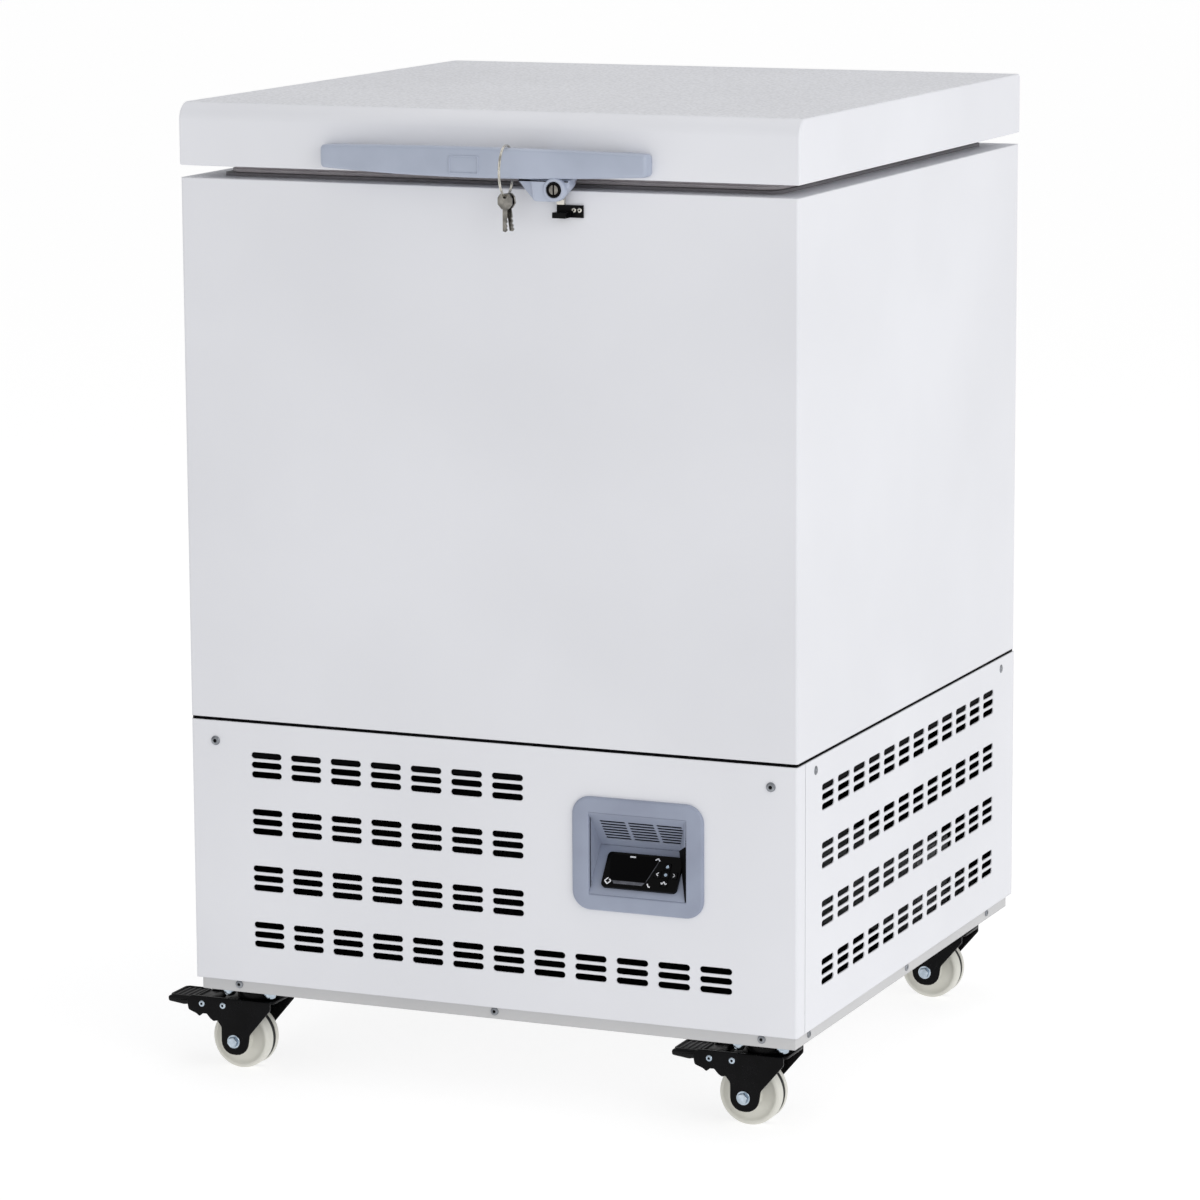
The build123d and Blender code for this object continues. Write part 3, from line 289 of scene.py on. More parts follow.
EDGE_SAMPLES = 6
PEBBLE = 2.8
PEBBLE_DEPTH = 0.3
SCRATCH = 0.6
SCRATCH_STRETCH = (0.02, 1.0, 1.0)


def linear(code):
    """sRGB hex colour as linear red, green, blue and alpha."""
    value = np.array([int(code[i : i + 2], 16) for i in (1, 3, 5)]) / 255
    value = np.where(value <= 0.04045, value / 12.92, ((value + 0.055) / 1.055) ** 2.4)
    return (*value.tolist(), 1.0)


def per_metre(size):
    """Texture scale that gives a feature this many millimetres across."""
    return 1 / (size * MM)


def node(tree, kind, inputs=None, **settings):
    """Adds a node, sets its own settings, and sets or links its inputs."""
    made = tree.nodes.new(kind)
    for key, value in settings.items():
        setattr(made, key, value)
    for key, value in (inputs or {}).items():
        if isinstance(value, bpy.types.NodeSocket):
            tree.links.new(value, made.inputs[key])
        else:
            made.inputs[key].default_value = value
    return made


def surface(name, roughness, **sockets):
    """New material, its tree, its shader and the place on the object; sockets are the shader's values."""
    material = bpy.data.materials.new(name)
    material.use_nodes = True
    tree = material.node_tree
    shader = tree.nodes["Principled BSDF"]
    shader.inputs["Roughness"].default_value = roughness
    for key, value in sockets.items():
        shader.inputs[key.replace("_", " ")].default_value = value
    place = node(tree, "ShaderNodeTexCoord").outputs["Object"]
    return material, tree, shader, place


def tinted(tree, shader, place, dark, light, size):
    """Base colour that drifts between two close tones over patches of the given size in millimetres."""
    cloud = node(tree, "ShaderNodeTexNoise", {"Vector": place, "Scale": per_metre(size), "Detail": 3.0})
    ramp = node(tree, "ShaderNodeValToRGB", {"Fac": cloud.outputs["Fac"]})
    for stop, position, code in zip(ramp.color_ramp.elements, (0.35, 0.65), (dark, light)):
        stop.position = position
        stop.color = linear(code)
    tree.links.new(ramp.outputs["Color"], shader.inputs["Base Color"])
    return ramp.outputs["Color"]


def embossed(tree, shader, field, height, edge):
    """Relief of a field's height, over edges softened to a radius, both in millimetres."""
    relief = {"Height": field, "Distance": height * MM, "Strength": 1.0}
    if edge:
        soft = node(tree, "ShaderNodeBevel", {"Radius": edge * MM}, samples=EDGE_SAMPLES)
        relief["Normal"] = soft.outputs["Normal"]
    bump = node(tree, "ShaderNodeBump", relief)
    tree.links.new(bump.outputs["Normal"], shader.inputs["Normal"])


def finish(name, dark, light, roughness, patch, grain, height, edge, **sockets):
    """Material of two close tones in patches, with a fine grain and softened edges, sized in millimetres."""
    material, tree, shader, place = surface(name, roughness, **sockets)
    tinted(tree, shader, place, dark, light, patch)
    noise = node(tree, "ShaderNodeTexNoise", {"Vector": place, "Scale": per_metre(grain), "Detail": 2.0})
    embossed(tree, shader, noise.outputs["Fac"], height, edge)
    return material


def powder_coat(name, dark, light, roughness=0.42):
    """Polyester powder coat on folded steel sheet: satin, with a faint orange peel and softened folds."""
    return finish(name, dark, light, roughness, patch=260.0, grain=2.2, height=0.035, edge=1.6, IOR=1.5)


def moulded(name, dark, light, roughness, edge=0.8, height=0.02, gloss=0.5):
    """Injection-moulded plastic: a fine spark-eroded grain and slightly rounded edges."""
    size = {"patch": 60.0, "grain": 0.6, "height": height, "edge": edge}
    return finish(name, dark, light, roughness, **size, Specular_IOR_Level=gloss)


def black_lacquer(name, roughness, gloss=0.09):
    """Black stove lacquer on stamped steel: glossy, slightly uneven, with softened cut edges."""
    size = {"patch": 18.0, "grain": 4.0, "height": 0.05, "edge": 0.7}
    return finish(name, "#050506", "#0A0A0C", roughness, **size, Specular_IOR_Level=gloss)


def metal(name, dark, light, roughness, edge=0.3):
    """Plated or bright metal: sharp reflections broken by a fine uneven film."""
    return finish(name, dark, light, roughness, patch=6.0, grain=1.2, height=0.01, edge=edge, Metallic=1.0)


def rubber(name, dark, light, gloss=0.5):
    """Soft PVC or rubber, and the black of painted shade: matt, slightly mottled."""
    size = {"patch": 12.0, "grain": 0.8, "height": 0.03, "edge": 0.5}
    return finish(name, dark, light, 0.7, **size, Specular_IOR_Level=gloss)


def rigid_foam():
    """Rigid polyurethane foam: fine closed cells."""
    return finish("polyurethane_foam", "#D9C78F", "#E6D8A8", 0.9, patch=9.0, grain=1.2, height=0.2, edge=0.0)


def pebbled_lid():
    """Pre-painted sheet of the lid: smooth sides, and a top embossed with pebbles, with painted shade between
    them and a painted highlight on their crowns.
    """
    material, tree, shader, place = surface("embossed_sheet_painted_shade", 0.5, IOR=1.5)
    tone = tinted(tree, shader, place, "#E0E1E6", "#E5E6EB", 240.0)
    height = node(tree, "ShaderNodeSeparateXYZ", {"Vector": place}).outputs["Z"]
    limit = {0: height, 1: (lid_high[2] - PEBBLE_DEPTH) * MM}
    on_top = node(tree, "ShaderNodeMath", limit, operation="GREATER_THAN").outputs["Value"]
    spread = {"Vector": place, "Scale": per_metre(PEBBLE)}
    away = node(tree, "ShaderNodeTexVoronoi", spread, feature="SMOOTH_F1").outputs["Distance"]
    # Painted shade between the pebbles and a painted highlight on their crowns, multiplied into the top's
    # colour
    pebble_shade_range = {"Value": away, "From Min": 0.15, "From Max": 0.65, "To Min": 1.08, "To Max": 0.86}
    pebble_shade = node(tree, "ShaderNodeMapRange", pebble_shade_range).outputs["Result"]
    mix = {0: on_top, 6: tone, 7: pebble_shade}
    shaded = node(tree, "ShaderNodeMix", mix, data_type="RGBA", blend_type="MULTIPLY")
    tree.links.new(shaded.outputs[2], shader.inputs["Base Color"])
    raised = node(tree, "ShaderNodeMath", {0: away, 1: on_top}, operation="MULTIPLY").outputs["Value"]
    embossed(tree, shader, raised, -PEBBLE_DEPTH, 1.0)
    return material


def brushed_steel():
    """Brushed stainless sheet of the chamber: long fine scratches along X."""
    material, tree, shader, place = surface("brushed_stainless", 0.32, Metallic=1.0)
    tinted(tree, shader, place, "#B9BBBE", "#CBCDD0", 90.0)
    stretch = node(tree, "ShaderNodeMapping", {"Vector": place, "Scale": SCRATCH_STRETCH}).outputs["Vector"]
    scratch = node(tree, "ShaderNodeTexNoise", {"Vector": stretch, "Scale": per_metre(SCRATCH)})
    embossed(tree, shader, scratch.outputs["Fac"], 0.02, 1.0)
    return material


COAT = powder_coat("powder_coat_cabinet", "#DEDFE4", "#E3E4E9")
BASE_COAT = powder_coat("powder_coat_base", "#DFE0E5", "#E4E5EA")
EMBOSSED_PAINTED_SHADE = pebbled_lid()
PAN = powder_coat("zinc_primer_pan", "#BDBDBE", "#C6C6C7", roughness=0.38)
# Base frame in near-matt black: painted shade, so the seam between the base and the cabinet reads dark
FRAME_SHADE_BLACK = black_lacquer("painted_shade_black_frame", 0.6, gloss=0.02)
STEEL = brushed_steel()
FOAM = rigid_foam()
RIM_ABS = moulded("abs_lid_cover", "#C9CACD", "#D0D1D4", 0.45)
MOUTH_ABS = moulded("grey_abs_mouth", "#79767A", "#838084", 0.45)
# Grey PVC of the gasket, painted lighter than its own colour: painted light where the gasket lies in the
# lid's shade
GASKET_PVC_PAINTED_LIGHT = rubber("soft_pvc_gasket_painted_light", "#CFC8CC", "#D8D2D5")
COPPER = metal("copper_tube", "#9A5A3C", "#B97350", 0.35)
COMPRESSOR_BLACK = black_lacquer("black_lacquer_compressor", 0.35)
# Black rubber of the grommets, also used as painted shade: the dark band in each wheel's groove and the black
# refrigerant pipes
RUBBER_AND_SHADE_BLACK = rubber("black_rubber_and_painted_shade", "#101012", "#18181A")
# Black of painted shade, put where the machine space, the bezel's recess and the way past the condenser lie
# in shade
SHADE_BLACK = rubber("painted_shade_black", "#040405", "#080809", gloss=0.05)
FAN_PLASTIC = moulded("glass_filled_nylon_black", "#0E0E10", "#161618", 0.5)
MOTOR_STEEL = metal("painted_motor", "#3A3B3E", "#4A4B4E", 0.5)
BOX_STEEL = powder_coat("powder_coat_box", "#9A9C9F", "#A5A7AA", roughness=0.5)
BEZEL_ABS = moulded("abs_bezel", "#8E95A8", "#98A0B3", 0.42)
HANDLE_ABS = moulded("abs_handle", "#A3ABBC", "#ADB5C6", 0.3)
LOCK_ABS = moulded("abs_lock", "#A6AEC0", "#B2BACB", 0.34)
CONTROLLER_BLACK = moulded("polished_abs_controller", "#030304", "#060607", 0.12, 0.4, 0.002, gloss=0.1)
KEY_BLACK = moulded("polished_abs_keys", "#050507", "#09090B", 0.2, 0.4, 0.002, gloss=0.12)
HINGE_STEEL = metal("zinc_plate_hinge", "#A8ACB2", "#C0C4CA", 0.38)
ZINC = metal("bright_zinc_bolts", "#A9B6C2", "#C3CFDA", 0.22)
KEY_STEEL = metal("nickel_silver_keys", "#6B6965", "#8F8C86", 0.2)
SCREW_STEEL = metal("stainless_screws", "#7C7F84", "#989BA0", 0.28)
CHROME = metal("nickel_plate_lock", "#B9B6AE", "#D6D3CB", 0.14)
# Black lacquer of the keeper and the lock's collar, also the painted shade in the screws' drive recesses
KEEPER_BLACK_AND_SHADE = black_lacquer("black_lacquer_keeper_and_painted_shade", 0.3)
CASTER_BLACK = black_lacquer("black_lacquer_casters", 0.24)
PEDAL_BLACK = moulded("black_nylon_pedal", "#070708", "#0C0C0E", 0.34, gloss=0.16)
# Black for the condenser, its fins and the filter drier: painted shade that keeps the view through the slots
# dark
FIN_SHADE_BLACK = black_lacquer("painted_shade_black_fins", 0.45)
DISPLAY_GLASS = moulded("black_display_glass", "#010102", "#030304", 0.05, 0.2, 0.0005, gloss=0.06)
PRINT_WHITE = moulded("screen_print_white", "#E6E8EE", "#F2F3F7", 0.5, edge=0.05)
PRINT_BLUE = moulded("screen_print_blue", "#B9D2EA", "#CFE2F4", 0.5, edge=0.05)
TRIM_GREY = metal("smoked_trim", "#5E6067", "#7B7D85", 0.25, edge=0.1)
NYLON = moulded("cast_nylon_wheel", "#D3D2C9", "#DEDDD5", 0.4, edge=0.6)

# Solids that stay in view as they are
finish_of_node = {
    "outer_shell": COAT,
    "base_pan": PAN,
    "base_frame": FRAME_SHADE_BLACK,
    "inner_liner": STEEL,
    "foam_body": FOAM,
    "lid_foam": FOAM,
    "mouth_frame": MOUTH_ABS,
    "lid_liner": RIM_ABS,
    "evaporator_coil": COPPER,
    # The refrigerant pipes, the filter drier and the condenser are black as painted shade, seen dark through
    # the slots
    "refrigerant_pipes": RUBBER_AND_SHADE_BLACK,
    "caster_plates": CASTER_BLACK,
    "filter_drier": FIN_SHADE_BLACK,
    "condenser": FIN_SHADE_BLACK,
    "compressor": COMPRESSOR_BLACK,
    "compressor_grommets": RUBBER_AND_SHADE_BLACK,
    "fan_shroud": FAN_PLASTIC,
    "fan_blade": FAN_PLASTIC,
    "fan_motor": MOTOR_STEEL,
    "electrical_box": BOX_STEEL,
    "power_inlet": FAN_PLASTIC,
    "controller_case": CONTROLLER_BLACK,
    "lock_bolt": CHROME,
    "lock_keeper": KEEPER_BLACK_AND_SHADE,
    "hinge_bases": HINGE_STEEL,
    "hinge_arms": HINGE_STEEL,
}
for name, material in finish_of_node.items():
    frame["nodes"][name].material_slots[0].material = material


# Sheet panels of the machine base

PANEL_SHEET = 1.2
PANEL_BEND = 2.5
PANEL_WRAP = 19.5
PANEL_SIDES = {"left_panel": -1, "right_panel": 1}
FOLD_GAP = 0.1
FOLD_SHORT = 2.0
SLOT_LENGTH = 31.0
SLOT_HEIGHT = 6.0
SLOT_PITCH = 9.0
SLOT_CELL = 31.5
GROUP_PITCH = 40.5
GROUPS = 12
GROUPS_BESIDE_BEZEL = 7
BEZEL_GROUPS = np.array([8, 10])
BEZEL_ROWS = np.array([1, 3])
REAR_ROWS = [4, 4, 4]
ROW_PITCH = 53.5
FIRST_ROW = BASE + 46.5
FIRST_GROUP = -(GROUPS - 1) * GROUP_PITCH / 2
INLET_EDGE = 6.5
# Black sheets of painted shade behind the base panels: their thickness, gap and margin
SHADE_SHEET = 0.8
SHADE_GAP = 0.2
SHADE_MARGIN = 4.0


def slot_centres(groups_by_row, first=FIRST_GROUP):
    """Centres of rows of slot groups, three slots to a group, as across and up."""
    stack = SLOT_PITCH * np.array([-1, 0, 1])
    rows = [(FIRST_ROW + ROW_PITCH * row, np.arange(count)) for row, count in enumerate(groups_by_row)]
    return np.concatenate([crossings(first + GROUP_PITCH * group, up + stack) for up, group in rows])


def slot_sheet(ends, slots, hole=None, extra_lines=()):
    """Slotted sheet of the base's height between two ends, with lines round each slot's cell."""
    across, up = np.unique(slots[:, 0]), np.unique(slots[:, 1])
    us = lines_at(ends, across - SLOT_CELL / 2, across + SLOT_CELL / 2, hole[:2] if hole else ())
    vs = lines_at([BASE, BASE_TOP], up - SLOT_PITCH / 2, up + SLOT_PITCH / 2, extra_lines)
    return slotted(us, vs, slots, SLOT_LENGTH, SLOT_HEIGHT, hole)


def front_sheet():
    """Front panel: a flat sheet bent round both corners; past the flat, it runs round an arc and back."""
    flat = SIDE - PANEL_BEND
    bend = flat + PANEL_BEND * arc(0, 90, 5)
    half = np.append(bend, bend[-1] + PANEL_WRAP - PANEL_BEND)
    cut_u = FIRST_GROUP + GROUP_PITCH * BEZEL_GROUPS + SLOT_CELL / 2 * np.array([-1, 1])
    cut_v = FIRST_ROW + ROW_PITCH * BEZEL_ROWS + 1.5 * SLOT_PITCH * np.array([1, -1])
    slots = slot_centres([GROUPS] + 3 * [GROUPS_BESIDE_BEZEL])
    points, faces = slot_sheet(np.concatenate([-half, half]), slots, (*cut_u, *cut_v))
    way = np.abs(points[:, 0])
    turn = np.clip((way - flat) / PANEL_BEND, 0, np.pi / 2)
    run = np.maximum(way - bend[-1], 0)
    x = np.minimum(way, flat) + PANEL_BEND * np.sin(turn)
    y = FRONT + PANEL_BEND * (1 - np.cos(turn)) + run
    side = np.sign(points[:, 0])
    inward = np.stack([-side * np.sin(turn), np.cos(turn), np.zeros(len(way))], 1)
    return walled((np.stack([side * x, y, points[:, 1]], 1), faces), PANEL_SHEET * inward)


def side_sheet(node_name, place, inward, thickness=PANEL_SHEET):
    """Side panel: a flat slotted sheet in the plane of its outer face."""
    low, high = box_mm(node_name)
    points, faces = slot_sheet([low[1], high[1]], slot_centres(4 * [GROUPS]))
    at = np.column_stack([np.full(len(points), place), points])
    return walled((at, faces), thickness * inward * WORLD_X)


def rear_sheet(place=BACK, thickness=PANEL_SHEET):
    """Rear panel: a flat slotted sheet with a cut-out for the power inlet."""
    low, high = box_mm("rear_panel")
    inlet_low, inlet_high = box_mm("power_inlet")
    slots = slot_centres(REAR_ROWS, FIRST_GROUP + GROUP_PITCH)
    hole_low = FIRST_ROW + SLOT_PITCH / 2
    hole_high = hole_low + 2 * SLOT_PITCH
    hole = (inlet_low[0] + INLET_EDGE, inlet_high[0] - INLET_EDGE, hole_low, hole_high)
    points, faces = slot_sheet([low[0], high[0]], slots, hole, [hole_high])
    at = np.stack([points[:, 0], np.full(len(points), place), points[:, 1]], 1)
    return walled((at, faces), -thickness * WORLD_Y)


def lower_return(low, high):
    """Narrow fold under a panel: a strip between two corners."""
    return plate(rectangle(low, high), BASE * WORLD_Z, WORLD_X, WORLD_Y, PANEL_SHEET)


def base_panels():
    """The four panels of the machine base, each with its fold under the lower edge."""
    fold_half = SIDE - FOLD_SHORT
    fold = lower_return((-fold_half, FRONT + PANEL_SHEET), (fold_half, pan_low[1] - FOLD_GAP))
    panels = {"front_panel": join(front_sheet(), fold)}
    for name, side in PANEL_SIDES.items():
        low, high = box_mm(name)
        across = sorted((side * (SIDE - PANEL_SHEET), side * (pan_high[0] + FOLD_GAP)))
        fold = lower_return((across[0], low[1]), (across[1], high[1] - PANEL_SHEET))
        panels[name] = join(side_sheet(name, side * SIDE, -side), fold)
    fold = lower_return((pan_low[0], pan_high[1] + FOLD_GAP), (pan_high[0], BACK - PANEL_SHEET))
    panels["rear_panel"] = join(rear_sheet(), fold)
    for name, shape in panels.items():
        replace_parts(piece(f"{name}_sheet", shape, BASE_COAT, "cabinet"), name)


def shade_sheets():
    """Painted shade: black sheets behind the slotted panels, cut like them, and on the floor of the pan, so
    the space behind the slots reads dark.
    """
    inside = PANEL_SHEET + SHADE_GAP
    sheets = [side_sheet(name, side * (SIDE - inside), -side, SHADE_SHEET) for name, side in PANEL_SIDES.items()]
    floor = rectangle(pan_low[:2] + SHADE_MARGIN, pan_high[:2] - SHADE_MARGIN)
    sheets.append(plate(floor, box_mm("condenser")[0][2] * WORLD_Z, WORLD_X, WORLD_Y, SHADE_SHEET))
    return join(*sheets, rear_sheet(BACK - inside, SHADE_SHEET))


base_panels()
# Painted shade inside the machine space
piece("machine_space_painted_shade", shade_sheets(), SHADE_BLACK, "cabinet")


# Lid: pressed top, inner cover and sealing gasket

LID_ROLL = 15.0
LID_BREAK = 4.0
LID_EDGE = 1.8
LID_CORNERS = (2, 2, 4, 0.5)
LID_STEPS = 24
LID_SHARP = 3.9
COVER_MARGIN = 14.0
COVER_SHEET = 1.2
GASKET_WIDTH = 22.0


def lid_cover():
    """Lid: its side outline carried across and rounded at both ends; the front edge is a roll, an arc that
    meets the top and the front at a slight break."""
    corners = rounded(rectangle(lid_low[1:], lid_high[1:]), LID_CORNERS, LID_STEPS)
    lean = np.radians(LID_BREAK)
    radius = LID_ROLL / np.sqrt(2) / np.sin(np.pi / 4 - lean)
    middle = (lid_low[1] + LID_ROLL + radius * np.sin(lean), lid_high[2] - radius * np.cos(lean))
    roll = middle + radius * spokes(arc(90 + LID_BREAK, 180 - LID_BREAK, LID_STEPS))
    outline = np.concatenate([corners[: -LID_STEPS - 1], roll])
    width = lid_high[0] - lid_low[0]
    return plate(outline, lid_low[0] * WORLD_X, WORLD_Y, WORLD_Z, width, LID_EDGE, LID_STEPS)


def lid_underside():
    """Moulded cover under the lid, a thin rounded plate inside the lid's edge."""
    half = lid_high[:2] - COVER_MARGIN
    outline = round_box(-half, half, 12)
    return plate(outline, (LID - COVER_SHEET / 2) * WORLD_Z, WORLD_X, WORLD_Y, COVER_SHEET, 0.4)


def gasket():
    """Gasket: a bellows section, folded each side over a magnet tube, carried round a rounded square."""
    low, high = box_mm("lid_gasket")
    half = np.full(2, (high[0] - low[0] - GASKET_WIDTH) / 2)
    middle = round_box(-half, half, 6, 8)
    path = np.column_stack([middle, np.full(len(middle), low[2])])
    fold = [(0.6, 0), (0, 0.6), (0, 3), (1.6, 3.5), (1.6, 4.1), (0, 4.6), (0, 6.2), (1.2, LID - low[2])]
    right = (GASKET_WIDTH / 2, 0) + np.array(fold) * (-1, 1)
    section = np.concatenate([right, right[::-1] * (-1, 1)])
    return carried(path, section, WORLD_Z, closed=True)


cover = piece("lid_pressed_cover", lid_cover(), EMBOSSED_PAINTED_SHADE, "lid", LID_SHARP)
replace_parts(cover, "lid_shell")
piece("lid_inner_cover", lid_underside(), RIM_ABS, "lid")
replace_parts(piece("gasket_bellows", gasket(), GASKET_PVC_PAINTED_LIGHT, "lid", 50), "lid_gasket")


# Handle with its badge frame

HANDLE_THICK = 11.0
HANDLE_END_DEPTH = 12.0
HANDLE_END_HEIGHT = 20.0
HANDLE_END_ROUND = 4.0
HANDLE_FOOT = 26.0
FOOT_BLEND = 10.0
HANDLE_STATIONS = 161
HANDLE_STEPS = 6
FRONT_ROUND = 3.4
BACK_ROUND = 1.6
BADGE_MIDDLE = (-4.0, 862.5)
BADGE_SIZE = (28.0, 15.0)

handle_low, handle_high = box_mm("handle")
handle_middle = (handle_low + handle_high) / 2
handle_half = (handle_high - handle_low) / 2


def bow(x, rise):
    """Height at a station x of a circular arc of this rise over the handle's length, zero at its middle."""
    radius = (handle_half[0] ** 2 + rise**2) / (2 * rise)
    return radius - np.sqrt(radius**2 - (x - handle_middle[0]) ** 2)


def handle_front(x):
    """Depth of the handle's bowed front at a station x."""
    return handle_low[1] + bow(x, FRONT - HANDLE_END_DEPTH - handle_low[1])


def handle_bar():
    """Handle: at each station a rounded rectangle between the bowed front and the grip's back, which swells
    out to the lid at both feet; the ends are rounded over."""
    tip = HANDLE_END_ROUND * (1 - np.cos(arc(0, 90, HANDLE_STEPS)))
    ends = (handle_low[0] + HANDLE_END_ROUND, handle_high[0] - HANDLE_END_ROUND)
    between = np.linspace(*ends, HANDLE_STATIONS)[1:-1]
    x = np.concatenate([handle_low[0] + tip, between, handle_high[0] - tip[::-1]])
    reach = handle_half[0] - np.abs(x - handle_middle[0])
    short = HANDLE_END_ROUND - np.minimum(reach, HANDLE_END_ROUND)
    shrink = HANDLE_END_ROUND - np.sqrt(HANDLE_END_ROUND**2 - short**2)
    foot = np.clip((HANDLE_FOOT + FOOT_BLEND / 2 - reach) / FOOT_BLEND, 0, 1)
    foot = foot**2 * (3 - 2 * foot)
    front = handle_front(x) + shrink
    back = (handle_front(x) + HANDLE_THICK) * (1 - foot) + FRONT * foot
    half = handle_half[2] - bow(x, handle_half[2] - HANDLE_END_HEIGHT / 2) - 0.7 * shrink
    corners = [(front, FRONT_ROUND, 1, 90), (front, FRONT_ROUND, -1, 180)]
    corners += [(back, -BACK_ROUND, -1, 270), (back, -BACK_ROUND, 1, 0)]
    rings = []
    for depth, inwards, way, start in corners:
        radius = abs(inwards)
        turn = arc(start, start + 90, HANDLE_STEPS)
        y = (depth + inwards)[:, None] + radius * np.cos(turn)
        z = (handle_middle[2] + way * (half - radius))[:, None] + radius * np.sin(turn)
        rings.append(np.stack([np.broadcast_to(x[:, None], y.shape), y, z], -1))
    stations = np.concatenate(rings, 1)
    return capped(grid(stations, wrap_columns=True), stations.shape[1])


def badge_frame():
    """Thin raised line round the bare badge field: a small section carried round a rectangle on the bow."""
    half = np.array(BADGE_SIZE) / 2
    outline = round_box(BADGE_MIDDLE - half, BADGE_MIDDLE + half, 1.2)
    path = np.column_stack([outline[:, 0], handle_front(outline[:, 0]), outline[:, 1]])
    section = np.array([(-0.8, -0.5), (0.8, -0.5), (0.8, 0.3), (0.4, 0.8), (-0.4, 0.8), (-0.8, 0.3)])
    return carried(path, section, -WORLD_Y, closed=True)


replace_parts(piece("handle_moulding", handle_bar(), HANDLE_ABS, "lid", 60), "handle")
piece("handle_badge_frame", badge_frame(), HANDLE_ABS, "lid", 60)


# Lock, key ring and keys

HOUSING_LEFT = 4.0
HOUSING_RIGHT = 10.0
HOUSING_BACK = 2.5
PLUG_RADIUS = 4.5
PLUG_SLOT = 1.4
RING_TURN = 8.0
RING_START = 0.6
RING_WIRE = 0.8
KEY_EYE = 1.9
KEY_LEANS = {"lock_key_front": 0.0, "lock_key_rear": 8.0}

joint_rows = {row["name"]: row for row in frame["record"]["behaviour"]["joints"]}


def joint_place(name):
    """Point on a joint's axis, in millimetres."""
    return np.array(joint_rows[name]["pos_m"]) / MM


lock_low, lock_high = box_mm("lock_housing")
collar_low, collar_high = box_mm("lock_cylinder")
lock_x, _, lock_z = joint_place("lock_turn")


def housing():
    """Lock housing: a tapered back shell, a raised nose with soft edges and a round boss for the cylinder."""
    left, right = lock_low[0] - HOUSING_LEFT, lock_high[0] - HOUSING_RIGHT
    bottom, top = lock_low[2], handle_low[2] - 0.2
    face, back = lock_low[1], FRONT - HOUSING_BACK
    shell = [(left, top), (left + 17, bottom), (right - 13, bottom), (right, bottom + 14), (right, top)]
    low = bottom + 0.8
    nose = [(left + 15, top), (left + 17, low), (right - 17, low), (right - 9, low + 10), (right - 9, top)]
    tongue = round_box((2 * lock_x - right, top - 2), (right, lock_high[2]), 1.5)
    boss = [(-4, 10.6), (1.0, 10.4), (2.2, 9.9), (2.6, 9.2), (2.6, 7.4), (1.9, 6.9), (-4, 6.9)]
    shell = rounded(shell, (0.8, 3.5, 9, 5, 0.8))
    nose = rounded(nose, (0.5, 3, 5, 4, 0.5))
    return join(
        plate(shell, back * WORLD_Y, WORLD_X, WORLD_Z, back - face - 5.5, 2.0, 4),
        plate(nose, (face + 12) * WORLD_Y, WORLD_X, WORLD_Z, 10.4, 1.6, 4),
        plate(tongue, FRONT * WORLD_Y, WORLD_X, WORLD_Z, 10.0, 1.0),
        turned(boss, (lock_x, face + 2.6, lock_z), -WORLD_Y, 64, bored=True),
    )


def cylinder_ring():
    """Black collar of the lock: a turned cup with a rounded lip."""
    cup = [(0, 0), (0, 6.6), (14.6, 6.7), (15.2, 6.5), (15.5, 6.0), (15.4, 5.4), (14.9, 5.1), (13.4, 5.0)]
    return turned([*cup, (13.4, 0)], (lock_x, collar_high[1], lock_z), -WORLD_Y, 56)


def cylinder_plug():
    """Key plug: two half discs either side of the key's slot."""
    limit = np.degrees(np.arccos(PLUG_SLOT / 2 / PLUG_RADIUS))
    halves = [PLUG_RADIUS * spokes(arc(turn - limit, turn + limit, 18)) for turn in (0, 180)]
    origin = (lock_x, collar_low[1] + 2.3, lock_z)
    return join(*(plate(half, origin, WORLD_X, WORLD_Z, 1.6, 0.3) for half in halves))


def split_ring():
    """Split key ring: a wire of two close turns, a flat helix about a level axis that is turned a little."""
    low, high = box_mm("key_ring")
    middle, outer = (low + high) / 2, (high[2] - low[2]) / 2
    wire = (high[0] - low[0]) / 4
    turn = np.linspace(0, 4 * np.pi, 193)
    step = np.clip((turn - 1.9 * np.pi) / (0.2 * np.pi), 0, 1)
    lean = np.radians(RING_TURN)
    axis = np.array([np.cos(lean), np.sin(lean), 0])
    level = np.array([-np.sin(lean), np.cos(lean), 0])
    way = spokes(turn + RING_START)
    round_way = way[:, 1:] * level + way[:, :1] * WORLD_Z
    path = middle + ((2 * step - 1) * wire)[:, None] * axis + (outer - RING_WIRE) * round_way
    return carried(path, circle(1.0, 12) * (RING_WIRE, wire), axis)


def key(name, lean):
    """Key: a bow with a round eye and a bitted blade, both flat plates hung from the ring's wire."""
    eye_x, _, eye_z = joint_place("key_swing_front")
    origin = np.array([eye_x, box_mm(name)[1][1], eye_z])
    tilt = np.radians(lean)
    across = np.array([np.cos(tilt), 0, np.sin(tilt)])
    up = np.array([-np.sin(tilt), 0, np.cos(tilt)])
    right = [(3.2, -11.4), (7, -7), (7, -1.5), (4.5, 2.4)]
    corners = [(-x, z) for x, z in right[::-1]] + right
    edge = finer(rounded(corners, 8 * (1.6,), 4), 6)
    worn = inset(edge, 0.35)
    eye = KEY_EYE * spokes(np.arctan2(edge[:, 1], edge[:, 0]))
    rows = [(worn, 0), (edge, 0.35), (edge, 1.65), (worn, 2), (eye, 2), (eye, 0)]
    head = grid(layered(rows, origin, across, up), wrap_rows=True, wrap_columns=True)
    bits = [(2.1, -29.6), (1.0, -27.8), (1.9, -26.2), (0.7, -24.2), (2.0, -22.4), (1.1, -20.2), (2.1, -18.6)]
    blade = [(-2.2, -10.5), (-2.2, -30.6), (0.6, -31.3), *bits, (2.1, -10.5)]
    shank = plate(blade, origin + 0.25 * np.cross(across, up), across, up, 1.5)
    return join(head, shank)


